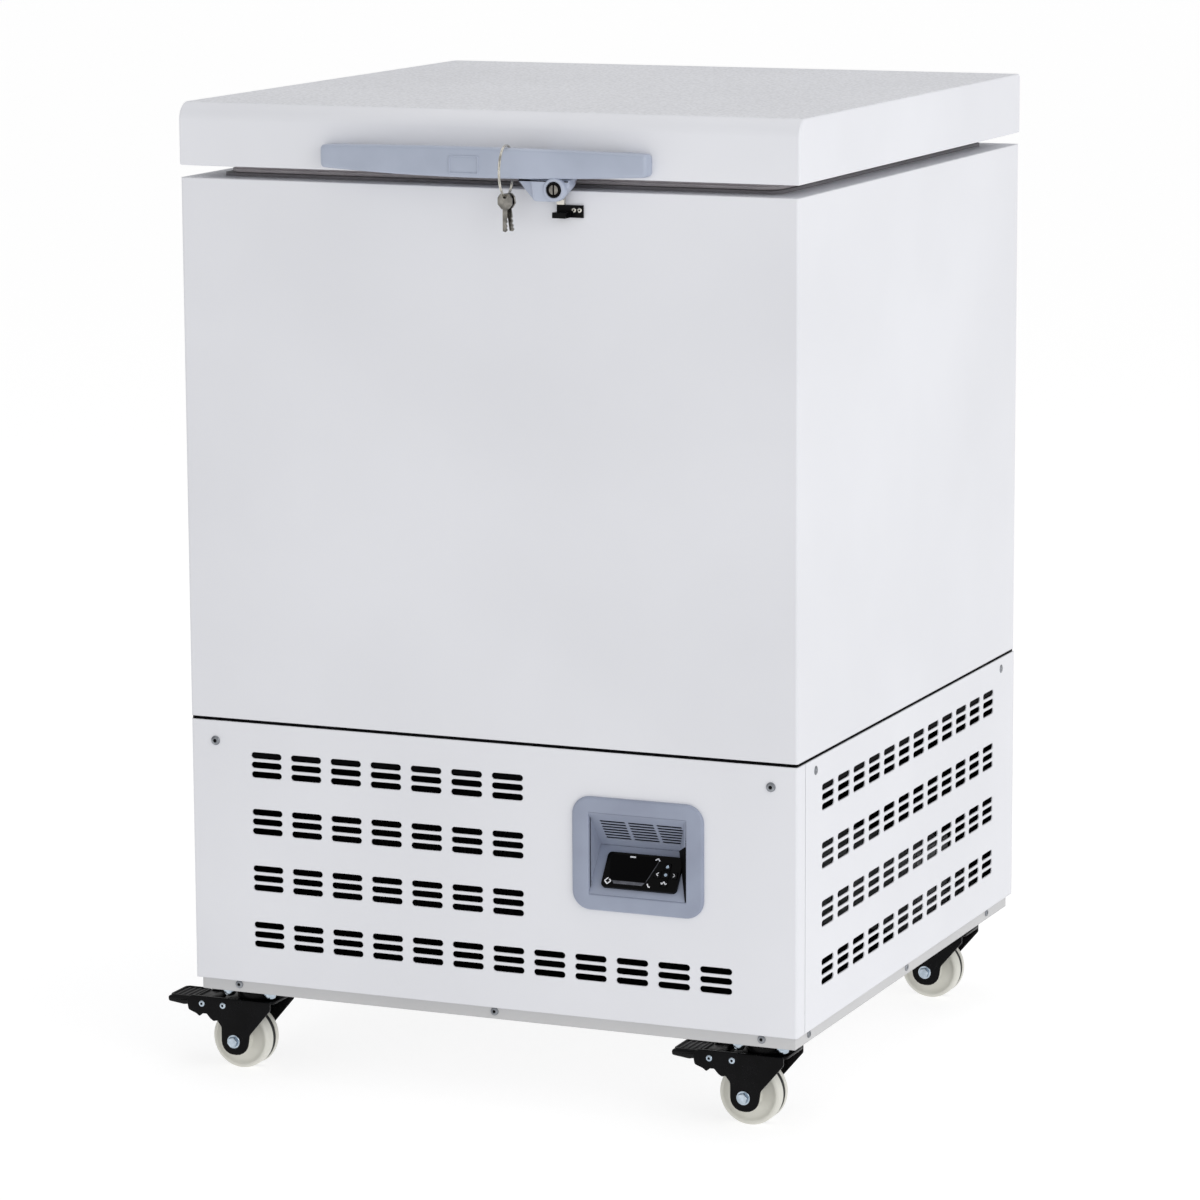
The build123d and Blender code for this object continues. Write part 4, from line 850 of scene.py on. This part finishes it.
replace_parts(piece("lock_housing_moulding", housing(), LOCK_ABS, "lid", 50), "lock_housing")
collar = piece("lock_collar", cylinder_ring(), KEEPER_BLACK_AND_SHADE, "lock_cylinder", 50)
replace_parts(collar, "lock_cylinder")
piece("lock_plug", cylinder_plug(), KEY_STEEL, "lock_cylinder", 50)
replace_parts(piece("split_ring", split_ring(), CHROME, "key_ring", 60), "key_ring")
for name, lean in KEY_LEANS.items():
    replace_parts(piece(f"{name}_blank", key(name, lean), KEY_STEEL, name), name)


# Screws

PANEL_SCREW = 4.4
PANEL_SCREW_X = 275.0
PANEL_SCREW_Z = (20.0, 227.0)
SIDE_SCREW_Y = (46.0, 561.0)
SIDE_SCREW_Z = 235.0
SIDE_SINK = 0.9
PAN_SCREW = 3.8
PAN_SCREW_X = (-258.0, 3.0, 264.0)
PAN_SCREW_Y = (40.0, 300.0, 534.0)
PAN_SCREW_Z = BASE - 5.0
KEEPER_SCREW = 2.2
KEEPER_SCREW_X = (3.2, 8.6)
KEEPER_SCREW_RISE = 1.2
HINGE_SCREW = 4.0
HINGE_SCREW_EDGE = 14.0
HINGE_SCREW_X = (-20.0, 0.0, 20.0)
HINGE_X = 180.0


def screw_head(place, normal, radius):
    """Pan head: a low dome with a round drive recess, turned about its own axis."""
    dome = [(0, 0), (0, 1), (0.16, 0.99), (0.32, 0.86), (0.4, 0.6), (0.4, 0.42), (0.14, 0.34), (0.14, 0)]
    return turned(np.array(dome) * radius, place, normal, 24)


def screw_recess_shade(place, normal, radius):
    """Painted shade at the bottom of a drive recess: a small low black disc."""
    disc = [(0.1, 0), (0.1, 0.33), (0.17, 0.33), (0.17, 0)]
    return turned(np.array(disc) * radius, place, normal, 16)


def screws(name, places, radius, body, material):
    """One object for the heads of a group of screws and one for the painted shade in their recesses."""
    heads = join(*(screw_head(place, way, radius) for place, way in places))
    piece(f"{name}_heads", heads, material, body, 40)
    recess_shades = join(*(screw_recess_shade(place, way, radius) for place, way in places))
    piece(f"{name}_recesses", recess_shades, KEEPER_BLACK_AND_SHADE, body, 40)


panel_screws, pan_screws = [], []
for way, pan_x, pan_y in ((-1, pan_low[0], pan_low[1]), (1, pan_high[0], pan_high[1])):
    screw_x, side_x = way * PANEL_SCREW_X, way * (SIDE - SIDE_SINK)
    panel_screws += [((screw_x, FRONT, BASE + PANEL_SCREW_Z[1]), -WORLD_Y)]
    panel_screws += [((screw_x, BACK, BASE + z), WORLD_Y) for z in PANEL_SCREW_Z]
    panel_screws += [((side_x, FRONT + y, BASE + SIDE_SCREW_Z), way * WORLD_X) for y in SIDE_SCREW_Y]
    pan_screws += [((x, pan_y, PAN_SCREW_Z), way * WORLD_Y) for x in PAN_SCREW_X]
    pan_screws += [((pan_x, FRONT + y, PAN_SCREW_Z), way * WORLD_X) for y in PAN_SCREW_Y]
screws("panel_screw", panel_screws, PANEL_SCREW, "cabinet", SCREW_STEEL)
screws("pan_screw", pan_screws, PAN_SCREW, "cabinet", SCREW_STEEL)

keeper_low, keeper_high = box_mm("lock_keeper")
keeper_z = (keeper_low[2] + keeper_high[2]) / 2 + KEEPER_SCREW_RISE
keeper_screws = [((keeper_high[0] - x, FRONT - 2, keeper_z), -WORLD_Y) for x in KEEPER_SCREW_X]
screws("keeper_screw", keeper_screws, KEEPER_SCREW, "cabinet", CHROME)

for name, body in (("hinge_bases", "cabinet"), ("hinge_arms", "lid")):
    low, high = box_mm(name)
    z = low[2] + HINGE_SCREW_EDGE if body == "cabinet" else high[2] - HINGE_SCREW_EDGE
    places = [((side * HINGE_X + x, BACK + 3, z), WORLD_Y) for side in (-1, 1) for x in HINGE_SCREW_X]
    screws(f"{name}_screw", places, HINGE_SCREW, body, ZINC)


# Casters

WHEEL = 29.0
HUB_HALF = 23.0
TRAIL = 14.0
LEG_INNER = 23.5
LEG_SHEET = 2.5
LEG_OUTER = LEG_INNER + LEG_SHEET
CROWN_LOW = 67.2
PLATE_LOW = 78.0
NUT_PLACES = [(-21, -18), (21, -18), (21, 18), (-21, 18)]
RIVET = 3.1
BRAKED_RIVETS = [(-47, 62.5), (-25, 62.5)]
PLAIN_RIVETS = [(-16, 63)]
PIVOT = (-46.0, 60.0)
SHOE_TIP = (-39.4, 48.6)
PEDAL_TOP = 65.0
RIB_PITCH = 5.4

# Corners of a fork's leg, each with its radius
LEG_END = [(-27, 16, 12.5), (-1, 16, 12.5), (2, 36, 6), (24, 62, 3), (24, 69.7, 1.5)]
PLAIN_LEG = [(-24, 69.7, 1.5), (-27, 50, 4), *LEG_END]
BRAKED_LEG = [(-58, 69.7, 3), (-63, 64.5, 4), (-61.5, 55.5, 3), (-53.5, 52.5, 1.5), (-50, 50, 1.2)]
BRAKED_LEG += [(-46.5, 52.8, 1.2), (-42.5, 53, 1.2), (-38.5, 48.6, 1.2), (-35, 46.5, 1.2), (-31.5, 47.5, 1.2)]
BRAKED_LEG += [(-27, 42, 5), *LEG_END]


def wheel(axle):
    """Cast wheel: a turned profile with a dished face, rounded tread edges and a groove near its back rim."""
    face = [(HUB_HALF, 4.2), (HUB_HALF, 10.2), (22.5, 10.9), (10.6, 11.2), (9.8, 12.2), (9.4, 19.5)]
    face += [(10.4, 23.6), (11.5, 24.6), (12, 25.8), (11.8, 27.3), (10.9, 28.5), (9.2, WHEEL)]
    groove = [(-1.4, WHEEL), (-1.1, 28.7), (-1, 25), (5, 25), (5.1, 28.6), (5.4, 28.9)]
    profile = [(-d, r) for d, r in face] + groove + face[::-1]
    return turned(profile, axle, WORLD_Y, 96, bored=True)


def groove_shade(axle):
    """Painted shade in the wheel's groove: a black turned band just below the tread."""
    band = [(-0.9, 24.8), (-0.9, 28.2), (4.9, 28.2), (4.9, 24.8)]
    return turned(band, axle, WORLD_Y, 96, bored=True)


def fork(x, y, corners):
    """Stamped fork: two outlined legs with rounded cut edges, joined by the crown and the axle."""
    corners = np.array(corners)
    leg = rounded(corners[:, :2], corners[:, 2], 5)
    half = np.array([26.0, LEG_INNER + 1.5])
    crown = round_box(-half, half, 9)
    rod = [(-25, 0), (-25, 4), (25, 4), (25, 0)]
    return join(
        plate(leg, (x, y - LEG_INNER, 0), WORLD_X, WORLD_Z, LEG_SHEET, 0.5),
        plate(leg, (x, y + LEG_OUTER, 0), WORLD_X, WORLD_Z, LEG_SHEET, 0.5),
        plate(crown, (x, y, CROWN_LOW), WORLD_X, WORLD_Y, LEG_SHEET, 0.5),
        turned(rod, (x - TRAIL, y, WHEEL), WORLD_Y, 32),
    )


def axle_bolt(x, y):
    """Zinc bolt at each end of the axle: a flat washer and a hexagon head with a chamfered face."""
    washer = [(0, 0), (0, 6.2), (0.3, 6.5), (0.9, 6.5), (1.2, 6.2), (1.2, 0)]
    hexagon = 5.2 * spokes(np.radians(60 * np.arange(6) + 12))
    shapes = []
    for side in (-1, 1):
        way = side * WORLD_Y
        place = np.array([x, y, WHEEL]) + LEG_OUTER * way
        shapes.append(turned(washer, place, way, 40))
        shapes.append(plate(hexagon, place + 1.2 * way, -side * WORLD_X, WORLD_Z, 3.2, 0.7))
    return join(*shapes)


def rivets(x, y, places):
    """Places and ways of the tubular rivets on both outer sides of a fork."""
    return [((x + a, y + side * LEG_OUTER, z), side * WORLD_Y) for side in (-1, 1) for a, z in places]


def plate_nuts(x, y):
    """Dome nuts under the corners of a caster's top plate."""
    dome = [(0, 0), (0, 6.6), (1.6, 6.6), (1.8, 5.8), (4.6, 5.2), (6.1, 3.9), (7.0, 2), (7.2, 0)]
    return join(*(turned(dome, (x + a, y + b, PLATE_LOW), -WORLD_Z, 28) for a, b in NUT_PLACES))


def capsule(a, a_radius, b, b_radius, steps=8):
    """Outline round two circles and their outer tangents."""
    a, b = np.array(a), np.array(b)
    way = np.degrees(np.arctan2(*(b - a)[::-1]))
    lean = np.degrees(np.arccos((a_radius - b_radius) / np.linalg.norm(b - a)))
    round_b = b + b_radius * spokes(arc(way - lean, way + lean, steps))
    round_a = a + a_radius * spokes(arc(way + lean, way + 360 - lean, steps))
    return np.concatenate([round_b, round_a])


def pedal_moulding(x, y):
    """Foot pedal: a thick rounded wedge with a raised rim and cross ribs, its neck, hub and shoe."""
    side = [(-87, PEDAL_TOP), (-86.5, 59.5), (-70, 57.5), (-56, 60), (-56, PEDAL_TOP)]
    neck = round_box((-60, 60), (-46, PEDAL_TOP), 1)
    pin = [(-24, 0), (-24, 2.4), (24, 2.4), (24, 0)]
    rim = round_box((-84.5, -16.5), (-59, 16.5), 4)
    path = np.column_stack([rim + (x, y), np.full(len(rim), PEDAL_TOP)])
    bead = np.array([(-1.1, -0.5), (1.1, -0.5), (1.1, 0.7), (0.6, 1.2), (-0.6, 1.2), (-1.1, 0.7)])
    shapes = [
        plate(rounded(side, (2.2, 2.2, 4, 3, 1)), (x, y + 19, 0), WORLD_X, WORLD_Z, 38, 1.8),
        plate(neck, (x, y + 10, 0), WORLD_X, WORLD_Z, 20, 0.5),
        plate(capsule(PIVOT, 5.4, SHOE_TIP, 1.9), (x, y + 9.8, 0), WORLD_X, WORLD_Z, 19.6, 0.5),
        turned(pin, (x + PIVOT[0], y, PIVOT[1]), WORLD_Y, 24),
        carried(path, bead, WORLD_Z, closed=True),
    ]
    for left in -80.5 + RIB_PITCH * np.arange(4):
        bar = round_box((left, -14), (left + 2.2, 14), 1)
        shapes.append(plate(bar, (x, y, PEDAL_TOP - 0.5), WORLD_X, WORLD_Y, 1.3, 0.4))
    return join(*shapes)


nuts = []
for place in ("front_left", "front_right", "rear_left", "rear_right"):
    x, y, _ = joint_place(f"swivel_{place}")
    axle = joint_place(f"roll_{place}")
    braked = f"brake_{place}" in joint_rows
    leg, spots = (BRAKED_LEG, BRAKED_RIVETS) if braked else (PLAIN_LEG, PLAIN_RIVETS)
    fork_body, wheel_body, pedal = f"caster_fork_{place}", f"caster_wheel_{place}", f"brake_pedal_{place}"
    stamping = piece(f"fork_stamping_{place}", fork(x, y, leg), CASTER_BLACK, fork_body)
    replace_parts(stamping, fork_body)
    piece(f"axle_bolt_{place}", axle_bolt(x - TRAIL, y), ZINC, fork_body)
    screws(f"fork_rivet_{place}", rivets(x, y, spots), RIVET, fork_body, ZINC)
    piece(f"wheel_groove_shade_{place}", groove_shade(axle), RUBBER_AND_SHADE_BLACK, wheel_body)
    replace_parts(piece(f"wheel_casting_{place}", wheel(axle), NYLON, wheel_body), wheel_body)
    if braked:
        moulding = piece(f"pedal_moulding_{place}", pedal_moulding(x, y), PEDAL_BLACK, pedal)
        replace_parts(moulding, pedal)
    nuts.append(plate_nuts(x, y))
piece("caster_plate_nuts", join(*nuts), ZINC, "cabinet", 50)


# Control bezel with its louvres

RECESS_WIDTH = 94.0
RECESS_HEIGHT = 75.0
RECESS_DEPTH = 29.0
RECESS_CREASE = 40.0
BEZEL_CORNER = 17.0
BEZEL_ROUND = 2.4
RECESS_ROUND = 1.4
WALL_GAP = 0.8
WALL_DRAFT = 17.0
WALL_SPLIT = 11.0
PLATFORM_SHORT = 0.8
LOUVRE = (25.0, 2.4)
LOUVRE_PITCH = (27.5, 3.9)
LOUVRE_SHIFT = 1.0
LOUVRE_SHEET = 0.7

bezel_low, bezel_high = box_mm("control_bezel")
bezel_x, _, bezel_z = (bezel_low + bezel_high) / 2
bezel_face = bezel_low[1]
recess_half = RECESS_WIDTH / 2
recess_low, recess_high = bezel_z - RECESS_HEIGHT / 2, bezel_z + RECESS_HEIGHT / 2
wall_end = recess_half - WALL_GAP
wall_deep = wall_end - WALL_DRAFT
crease = np.array([bezel_x, bezel_face + RECESS_DEPTH, recess_low + RECESS_CREASE])
rise = RECESS_HEIGHT - RECESS_CREASE
upper_run, lower_run = np.hypot(RECESS_DEPTH, rise), np.hypot(RECESS_DEPTH, RECESS_CREASE)
upper_way = np.array([0, -RECESS_DEPTH, rise]) / upper_run
lower_way = np.array([0, -RECESS_DEPTH, -RECESS_CREASE]) / lower_run
upper_back = np.cross(upper_way, WORLD_X)
panel_up = -lower_way
panel_out = np.cross(WORLD_X, panel_up)
panel_middle = crease + lower_run / 2 * lower_way


def bezel_frame():
    """Frame: matched rings up the rounded outer edge, over the front and down the softened inner edge."""
    middle = np.array([bezel_x, bezel_z])
    outer_half = (bezel_high - bezel_low)[[0, 2]] / 2
    inner_half = np.array([RECESS_WIDTH, RECESS_HEIGHT]) / 2
    outer = round_box(middle - outer_half, middle + outer_half, BEZEL_CORNER, 10)
    inner = round_box(middle - inner_half, middle + inner_half, 1, 10)
    rim = [(1 - np.cos(turn), 1 - np.sin(turn)) for turn in arc(0, 90, 5)]
    rows = [(outer, FRONT)]
    rows += [(inset(outer, BEZEL_ROUND * near), bezel_face + BEZEL_ROUND * far) for near, far in rim]
    rows += [(inset(inner, -RECESS_ROUND * far), bezel_face + RECESS_ROUND * near) for near, far in rim]
    rows += [(inner, FRONT + 2)]
    rings = [np.column_stack([flat[:, 0], np.full(len(flat), depth), flat[:, 1]]) for flat, depth in rows]
    return grid(np.stack(rings), wrap_rows=True, wrap_columns=True)


def louvred_face():
    """Upper recess face: a thin sheet from the crease to the frame, with three columns of louvre slots."""
    across = LOUVRE_SHIFT + LOUVRE_PITCH[0] * np.arange(-1, 2)
    along = upper_run / 2 + LOUVRE_PITCH[1] * np.arange(-3, 4)
    cell = np.array([LOUVRE[0] + 0.6, LOUVRE_PITCH[1]]) / 2
    us = lines_at([-recess_half, recess_half], across - cell[0], across + cell[0])
    vs = lines_at([0, upper_run], along - cell[1], along + cell[1])
    flat, faces = slotted(us, vs, crossings(across, along), *LOUVRE, steps=3)
    points = crease + flat[:, :1] * WORLD_X + flat[:, 1:] * upper_way
    return walled((points, faces), LOUVRE_SHEET * upper_back)


def right_wall(run, way):
    """Half of the leaning right wall: a triangle from the crease's end to the frame, along one face."""
    deep = crease + wall_deep * WORLD_X
    level = crease + wall_end * WORLD_X - RECESS_DEPTH * WORLD_Y + WALL_SPLIT * WORLD_Z
    far = crease + wall_end * WORLD_X + run * way
    return walled((np.stack([deep, level, far]), [[0, 1, 2]]), 0.8 * WORLD_X)


def recess_shell():
    """Rest of the recess: the sloped platform, the upright left wall and the right wall's upper half, which
    leans in to the crease and starts a gap away from the frame."""
    run = lower_run - PLATFORM_SHORT
    platform = [(-recess_half, 0), (wall_deep, 0), (wall_end, run), (-recess_half, run)]
    upright = [(crease[1], crease[2]), (FRONT, recess_high), (FRONT, recess_low)]
    return join(
        plate(platform, crease, WORLD_X, lower_way, 3.0, 0.3),
        plate(upright, (bezel_x - recess_half - 2) * WORLD_X, WORLD_Y, WORLD_Z, 2.0),
        right_wall(upper_run - 1, upper_way),
    )


def recess_shadow():
    """Painted shade: black sheets behind the louvres and the platform, and the lower half of the right wall
    drawn black where it lies in shade.
    """
    upper = rectangle((-recess_half, 0), (recess_half, upper_run))
    lower = rectangle((-recess_half, 0), (recess_half, lower_run - 3))
    return join(
        plate(upper, crease + 2.0 * upper_back, WORLD_X, upper_way, 1.0),
        plate(lower, crease - 5.0 * panel_out, WORLD_X, lower_way, 1.0),
        right_wall(lower_run - PLATFORM_SHORT, lower_way),
    )


bezel = join(bezel_frame(), louvred_face(), recess_shell())
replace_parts(piece("bezel_moulding", bezel, BEZEL_ABS, "cabinet"), "control_bezel")
# Painted shade in the bezel's recess
piece("bezel_painted_shade", recess_shadow(), SHADE_BLACK, "cabinet")


# Controller's face and keys

CONTROLLER_LIP = 3.0
PRINT_THICK = 0.12
MARK_WIDTH = 1.1
KEY_TOP = 3.8
KEY_DEPTH = 2.0
KEY_HALF = 3.1

# Each key's middle, and its mark's points, finish and width
KEYS = {
    "set": ((23.5, -1), [(-1.1, 0), (0, 1.2), (1.1, 0), (0, -1.2), (-1.1, 0)], PRINT_BLUE, 1.0),
    "up": ((23.5, 7), [(-1.2, -0.9), (0, 1.3), (1.2, -0.9), (-1.2, -0.9)], PRINT_BLUE, 1.0),
    "down": ((23.5, -9), [(-2.8, 0.2), (-1.8, -1.3), (0, 1.4), (1.7, -1.3), (2.8, -0.2)], PRINT_WHITE, 0.9),
    "left": ((15.5, -1), [(1.0, 1.6), (-1.0, 0), (1.0, -1.6)], PRINT_WHITE, 0.8),
    "right": ((31.5, -1), [(-0.8, 1.6), (0.8, 0), (-0.8, -1.6)], PRINT_WHITE, 0.6),
}
# Each mark on the case: its middle, its points and its lift off the face
CASE_MARKS = {
    "mark_peak": ((12.6, 13.0), [(-2.2, -0.8), (0, 1.2), (2.2, -1.2)], 0.26),
    "mark_diamond": ((-30.6, -11.2), [(0, 3), (-3, 0), (0, -3), (3, 0), (1.2, 1.8)], 0.05),
    "mark_tick": ((9.2, -12.6), [(-1.6, 1.8), (0.2, -1.2), (1.7, -1.2)], 0.05),
}


def on_controller(outline, height, thick, edge=0.0):
    """Plate laid at a height over the controller's seat."""
    return plate(outline, panel_middle + height * panel_out, WORLD_X, panel_up, thick, edge)


def printed(name, outline, material, thick, lift=0.0):
    """Thin mark or window laid on the controller's face."""
    shape = on_controller(outline, CONTROLLER_LIP + lift, thick)
    piece(name, shape, material, "cabinet")


def stroke(start, end, width):
    """Outline of a straight line of the given width."""
    way = (end - start) / np.linalg.norm(end - start)
    side = np.array([-way[1], way[0]]) * width / 2
    return [start - side, end - side, end + side, start + side]


def strokes(middle, points, width, height):
    """Mark of straight lines from point to point about a middle, laid on the controller's face."""
    moved = np.array(middle) + points
    lines = [stroke(start, end, width) for start, end in zip(moved[:-1], moved[1:])]
    return join(*(on_controller(line, height, PRINT_THICK) for line in lines))


window = [(-33.5, 12), (-29, -9.8), (5.2, -9.8), (13.6, 12.2), (10, 15), (-31, 15)]
sill = [(-26.5, -10.4), (-24.5, -13.4), (3.0, -13.4), (5.2, -10.4)]
lamp = round_box((-14.5, 12.9), (-9, 14.3), 0.4)
printed("display_window", rounded(window, (3, 2, 1.5, 2, 2, 3)), DISPLAY_GLASS, 0.25)
printed("display_edge", stroke(np.array([14.2, 11.6]), np.array([6.0, -9.6]), 0.4), TRIM_GREY, 0.3)
printed("display_sill", sill, TRIM_GREY, 0.3)
printed("display_lamp", lamp, PRINT_WHITE, PRINT_THICK, 0.25)
for name, (middle, points, lift) in CASE_MARKS.items():
    shape = strokes(middle, points, MARK_WIDTH, CONTROLLER_LIP + lift)
    piece(name, shape, PRINT_WHITE, "cabinet")
for name, (middle, points, material, width) in KEYS.items():
    body = f"push_key_{name}"
    place = np.array(middle)
    cap = round_box(place - KEY_HALF, place + KEY_HALF, 1.2)
    shape = on_controller(cap, KEY_TOP - KEY_DEPTH, KEY_DEPTH, 0.5)
    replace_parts(piece(f"{body}_cap", shape, KEY_BLACK, body), body)
    piece(f"{body}_mark", strokes(middle, points, width, KEY_TOP - 0.02), material, body)


# Condenser fins and the air baffle round them

FIN_PITCH = 4.0
FIN_PROUD = 2.0
FIN_MARGIN = 4.0
FIN_FOOT = 14.0
FIN_HEIGHT = 178.0
BAFFLE_END = -120.0
BAFFLE_FOOT = 12.0
BAFFLE_STRIP = 190.0
BAFFLE_SHEET = 1.2

coil_low, coil_high = box_mm("condenser")


def fin_pack():
    """Fins on the condenser's face: a comb outline, drawn from above and carried up the coil's height."""
    left, right, face = coil_low[0] + FIN_MARGIN, coil_high[0] - FIN_MARGIN, coil_low[1]
    count = int((right - left) / FIN_PITCH)
    foot = left + FIN_PITCH * np.arange(count)[:, None] + FIN_PITCH * np.array([0, 0.2, 0.4, 0.6])
    depth = face + np.tile([0.1, -FIN_PROUD, -FIN_PROUD, 0.1], count)
    comb = np.column_stack([foot.ravel(), depth])
    back = [(right, face + 0.1), (right, face + 1), (left, face + 1)]
    outline = np.concatenate([comb, back])
    return plate(outline, (coil_low[2] + FIN_FOOT) * WORLD_Z, WORLD_X, WORLD_Y, FIN_HEIGHT)


def air_baffle():
    """Sheets that close the way past the condenser's left end, and above it; they are black as painted shade.
    """
    top = BASE_TOP - 1
    beside = rectangle((FRONT + 4, coil_low[2] + BAFFLE_FOOT), (BAFFLE_END, top))
    above = rectangle((coil_low[0], coil_low[2] + BAFFLE_STRIP), (coil_high[0], top))
    return join(
        plate(beside, (coil_low[0] - BAFFLE_SHEET) * WORLD_X, WORLD_Y, WORLD_Z, BAFFLE_SHEET),
        plate(above, (coil_low[1] - 0.2) * WORLD_Y, WORLD_X, WORLD_Z, BAFFLE_SHEET),
    )


# The fins are black as painted shade
piece("condenser_fins", fin_pack(), FIN_SHADE_BLACK, "cabinet")
piece("condenser_baffle", air_baffle(), SHADE_BLACK, "cabinet")


# Contact pins of the power inlet

PIN_FOOT = 17.8
PIN_LENGTH = 13.0
PIN_PLACES = [(-7.0, -1.5), (0.0, 2.5), (7.0, -1.5)]


def inlet_pins():
    """Three flat pins in the socket, the middle one higher."""
    low, high = box_mm("power_inlet")
    foot = np.array([(low[0] + high[0]) / 2, BACK - PIN_FOOT, (low[2] + high[2]) / 2])
    blade = round_box((-1, -2), (1, 2), 0.4)
    return join(*(plate(blade + place, foot, -WORLD_X, WORLD_Z, PIN_LENGTH, 0.3) for place in PIN_PLACES))


piece("inlet_contact_pins", inlet_pins(), CHROME, "cabinet")


# Stage, light and camera

CAMERA_PLACE = np.array([1810.4, -4269.9, 1242.9])
CAMERA_YAW = -23.161
CAMERA_PITCH = -10.059
CAMERA_ROLL = -0.287
CAMERA_LENS = 148.08
CAMERA_SENSOR = 36.0
FLOOR_HALF = 40000.0
FLOOR_GLOW = 0.74
SKY_LEFT = 0.46
SKY_RIGHT = 0.79
LIGHT_TARGET = np.array([0.0, 0.0, 450.0])


def aim(made, place, right, ahead):
    """Puts a camera or a lamp at a place, in millimetres, with a level or rolled right and its view ahead."""
    turn = Matrix(np.stack([right, np.cross(right, ahead), -ahead], 1).tolist()).to_4x4()
    made.matrix_world = Matrix.Translation((place * MM).tolist()) @ turn


def set_camera():
    """Camera of the photograph: yaw about Z, then pitch, then roll about the line of sight."""
    yaw, pitch, roll = np.radians([CAMERA_YAW, CAMERA_PITCH, CAMERA_ROLL])
    ahead = np.array([np.sin(yaw) * np.cos(pitch), np.cos(yaw) * np.cos(pitch), np.sin(pitch)])
    level = np.array([np.cos(yaw), -np.sin(yaw), 0.0])
    data = bpy.data.cameras.new("photo_camera")
    data.sensor_width = CAMERA_SENSOR
    data.lens = CAMERA_LENS
    camera = added("photo_camera", data)
    aim(camera, CAMERA_PLACE, np.cos(roll) * level + np.sin(roll) * np.cross(level, ahead), ahead)
    bpy.context.scene.camera = camera


def area_light(name, place, size, power):
    """Soft square white lamp at a place, in millimetres, that points at the freezer's middle."""
    data = bpy.data.lights.new(name, "AREA")
    data.size = size * MM
    data.energy = power
    ahead = LIGHT_TARGET - place
    ahead /= np.linalg.norm(ahead)
    right = np.cross(ahead, WORLD_Z)
    aim(added(name, data), np.array(place), right / np.linalg.norm(right), ahead)


def set_stage():
    """Pale studio floor under a white surround that is brighter on the right."""
    mesh = bpy.data.meshes.new("studio_floor")
    corners = np.column_stack([FLOOR_HALF * rectangle((-1, -1), (1, 1)), np.zeros(4)])
    mesh.from_pydata((corners * MM).tolist(), [], [[0, 1, 2, 3]])
    floor = added("studio_floor", mesh)
    glow = {"Emission_Color": linear("#FFFFFF"), "Emission_Strength": FLOOR_GLOW}
    material, *_ = surface("pale_floor", 0.9, Base_Color=linear("#A1A1A1"), **glow)
    mesh.materials.append(material)

    world = bpy.data.worlds.new("studio")
    world.use_nodes = True
    tree = world.node_tree
    background = tree.nodes["Background"]
    background.inputs["Color"].default_value = linear("#FFFFFF")
    where = node(tree, "ShaderNodeTexCoord").outputs["Generated"]
    across = node(tree, "ShaderNodeSeparateXYZ", {"Vector": where}).outputs["X"]
    sides = {"Value": across, "From Min": -1.0, "From Max": 1.0, "To Min": SKY_LEFT, "To Max": SKY_RIGHT}
    fade = node(tree, "ShaderNodeMapRange", sides)
    tree.links.new(fade.outputs["Result"], background.inputs["Strength"])
    bpy.context.scene.world = world
    bpy.context.scene.view_settings.view_transform = "Standard"

    area_light("key_right", (3600, -1900, 2000), 2600, 38)
    area_light("fill_front", (-1500, -4200, 1500), 2600, 4)
    area_light("top_soft", (0, 400, 3600), 3000, 20)


set_camera()
set_stage()
